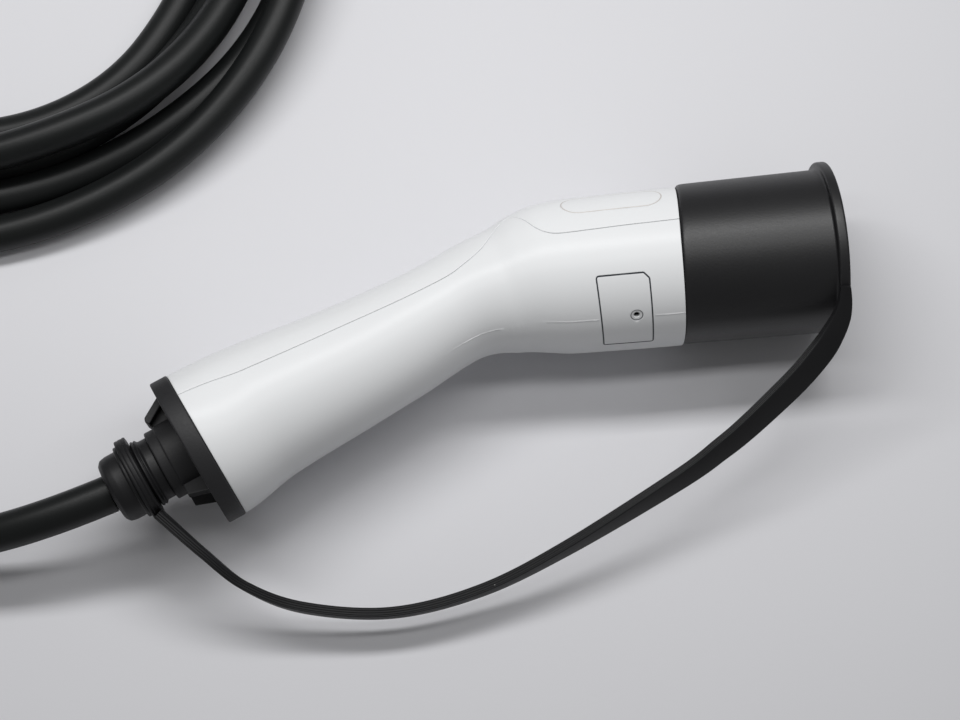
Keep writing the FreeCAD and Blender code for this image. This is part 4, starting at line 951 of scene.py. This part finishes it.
# The outer skin stands this much nearer the crest, and the edge's curve fades out along the cap
CAP_SHIFT = 0.7
CAP_FADE_END = 90.0
CAP_FADE = 20.0
cap_profile = rounded([
    (119.5, 0.4), (119.5, CAP_BORE), (124.5, 29.4), (124.5, 33.0), (120.7, 33.0), (120.5, 30.35),
    (70.0, 29.6), (68.6, 29.3), (CAP_EDGE_AT, 28.6), (CAP_EDGE_AT, CAP_BORE), (116.3, CAP_BORE), (116.3, 0.4),
], 1.0, 6)
cap_skin = lathe(cap_profile, CAP_SEGMENTS)
cap_skin[..., 1] += CAP_SHIFT * np.clip(cap_profile[:, 1:] - CAP_BORE - 0.1, 0, 1)
near_edge = np.clip((CAP_FADE_END - cap_skin[..., 0]) / CAP_FADE, 0, 1)
cap_skin[..., 0] += (open_edge(cap_skin[..., 1]) - CAP_EDGE_AT) * near_edge
cap_mesh = grid_mesh("dust_cap_rubber", on_gun(cap_skin), closed_across=True, capped=True)
cap = link("dust_cap_rubber", cap_mesh)
cap_finish = finish(
    "cap_rubber", (0.012, 0.012, 0.013), (0.007, 0.007, 0.008), 0.42, 0.05, 1300.0, 30.0, 0.03, shine=0.5)
cap_rubber = dusty(*cap_finish, 230.0, 0.05, 0.62)
cap.data.materials.append(cap_rubber)
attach(cap, "cap")
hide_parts("dust_cap")

# Plug for the wall socket. The same white body, flange and nut as the gun's, without the marks,
# the strap and the cap, set down on the far side of the coil, with bare silver plated pins.
PLUG_TURN = math.radians(-12.0)
PLUG_FROM_BEND = np.array([-155.0, 318.0, 25.0])


def on_plug(points):
    """Points in the plug's own frame, turned and set down where the plug lies."""
    return on_gun(turned(points, PLUG_TURN) + PLUG_FROM_BEND)


gloss_white_plain = finish("gloss_white_plain", *WHITE_GLOSS, shine=0.25)[0]
plug_rows = graded((GRIP_END_AT + 1.2, -24.0, 3.0), (-24.0, 24.5, 1.2))
plug_nose_rows = graded((24.5, NOSE_END_AT - 0.6, 3.0))
plug_upper = white_shell(
    "plug_upper_white", on_plug, True, False, plug_rows, plug_nose_rows, graded((-71.0, 71.5, 3.0)))
plug_lower = white_shell(
    "plug_lower_white", on_plug, False, False, plug_rows, plug_nose_rows, graded((74.0, 286.5, 3.0)))
plug_nut = gland_nut("plug_nut_turned", on_plug)
for piece, node, made, slot in (
        (plug_upper, "plug_upper_shell", gloss_white_plain, "white_shell"),
        (plug_lower, "plug_lower_shell", gloss_white_plain, "white_shell"),
        (flange_body("plug_flange_turned", on_plug), "plug_flange", matt_nylon, "black_plastic"),
        (flange_webs("plug_flange_webs", on_plug), "plug_flange", matt_nylon, "black_plastic"),
        (plug_nut, "plug_gland_nut", black_nylon, "black_plastic")):
    piece.data.materials.append(made)
    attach(piece, "lead")
    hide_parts(node)
dress(black_nylon, "plug_sheath")
dress(carrier_nylon, "plug_contact_block")
dress(
    silver_plate, "plug_pin_line", "plug_pin_earth", "plug_pin_neutral", "plug_pin_pilot",
    "plug_pin_proximity")
dress(screw_zinc, "plug_flange_screws")
dress(seal_rubber, "plug_gland_seal")

# Table and light. A plain pale table top runs out of sight; two long lamps hang close over it, one
# nearly overhead and one beyond the gun, and a dim white room fills the shadows.
FLOOR_SIZE = 6.0
floor_line = np.linspace(-FLOOR_SIZE / 2, FLOOR_SIZE / 2, 3)
floor_points = np.stack([*np.meshgrid(floor_line, floor_line), np.zeros((3, 3))], axis=-1)
floor = link("table_top", grid_mesh("table_top", floor_points))
table_white = finish(
    "table_white", (0.73, 0.73, 0.757), (0.71, 0.71, 0.737), 0.6, 0.05, 700.0, 4.0, 0.01)[0]
floor.data.materials.append(table_white)

ROOM_STRENGTH = 0.17
LAMP_LENGTH = 0.85
world = bpy.data.worlds.new("soft_room")
bpy.context.scene.world = world
world.use_nodes = True
world.node_tree.nodes["Background"].inputs["Color"].default_value = (1, 1, 1, 1)
world.node_tree.nodes["Background"].inputs["Strength"].default_value = ROOM_STRENGTH


def lamp(name, from_bend, broad, power):
    """Long area lamp near the gun: its length lies along X, and it leans only about that line, so
    that it faces the bend."""
    data = bpy.data.lights.new(name, "AREA")
    data.shape = "RECTANGLE"
    data.size = LAMP_LENGTH
    data.size_y = broad
    data.energy = power
    aside = Vector((1, 0, 0))
    back = Vector((0, from_bend[1], from_bend[2])).normalized()
    leant = Matrix((aside, back.cross(aside), back)).transposed().to_4x4()
    link(name, data).matrix_world = Matrix.Translation(bend + Vector(from_bend)) @ leant


lamp("overhead", (0.10, 0.038, 0.60), 0.075, 1.02)
lamp("beyond", (-0.08, 0.280, 0.59), 0.095, 3.35)
bpy.context.scene.view_settings.view_transform = "Standard"
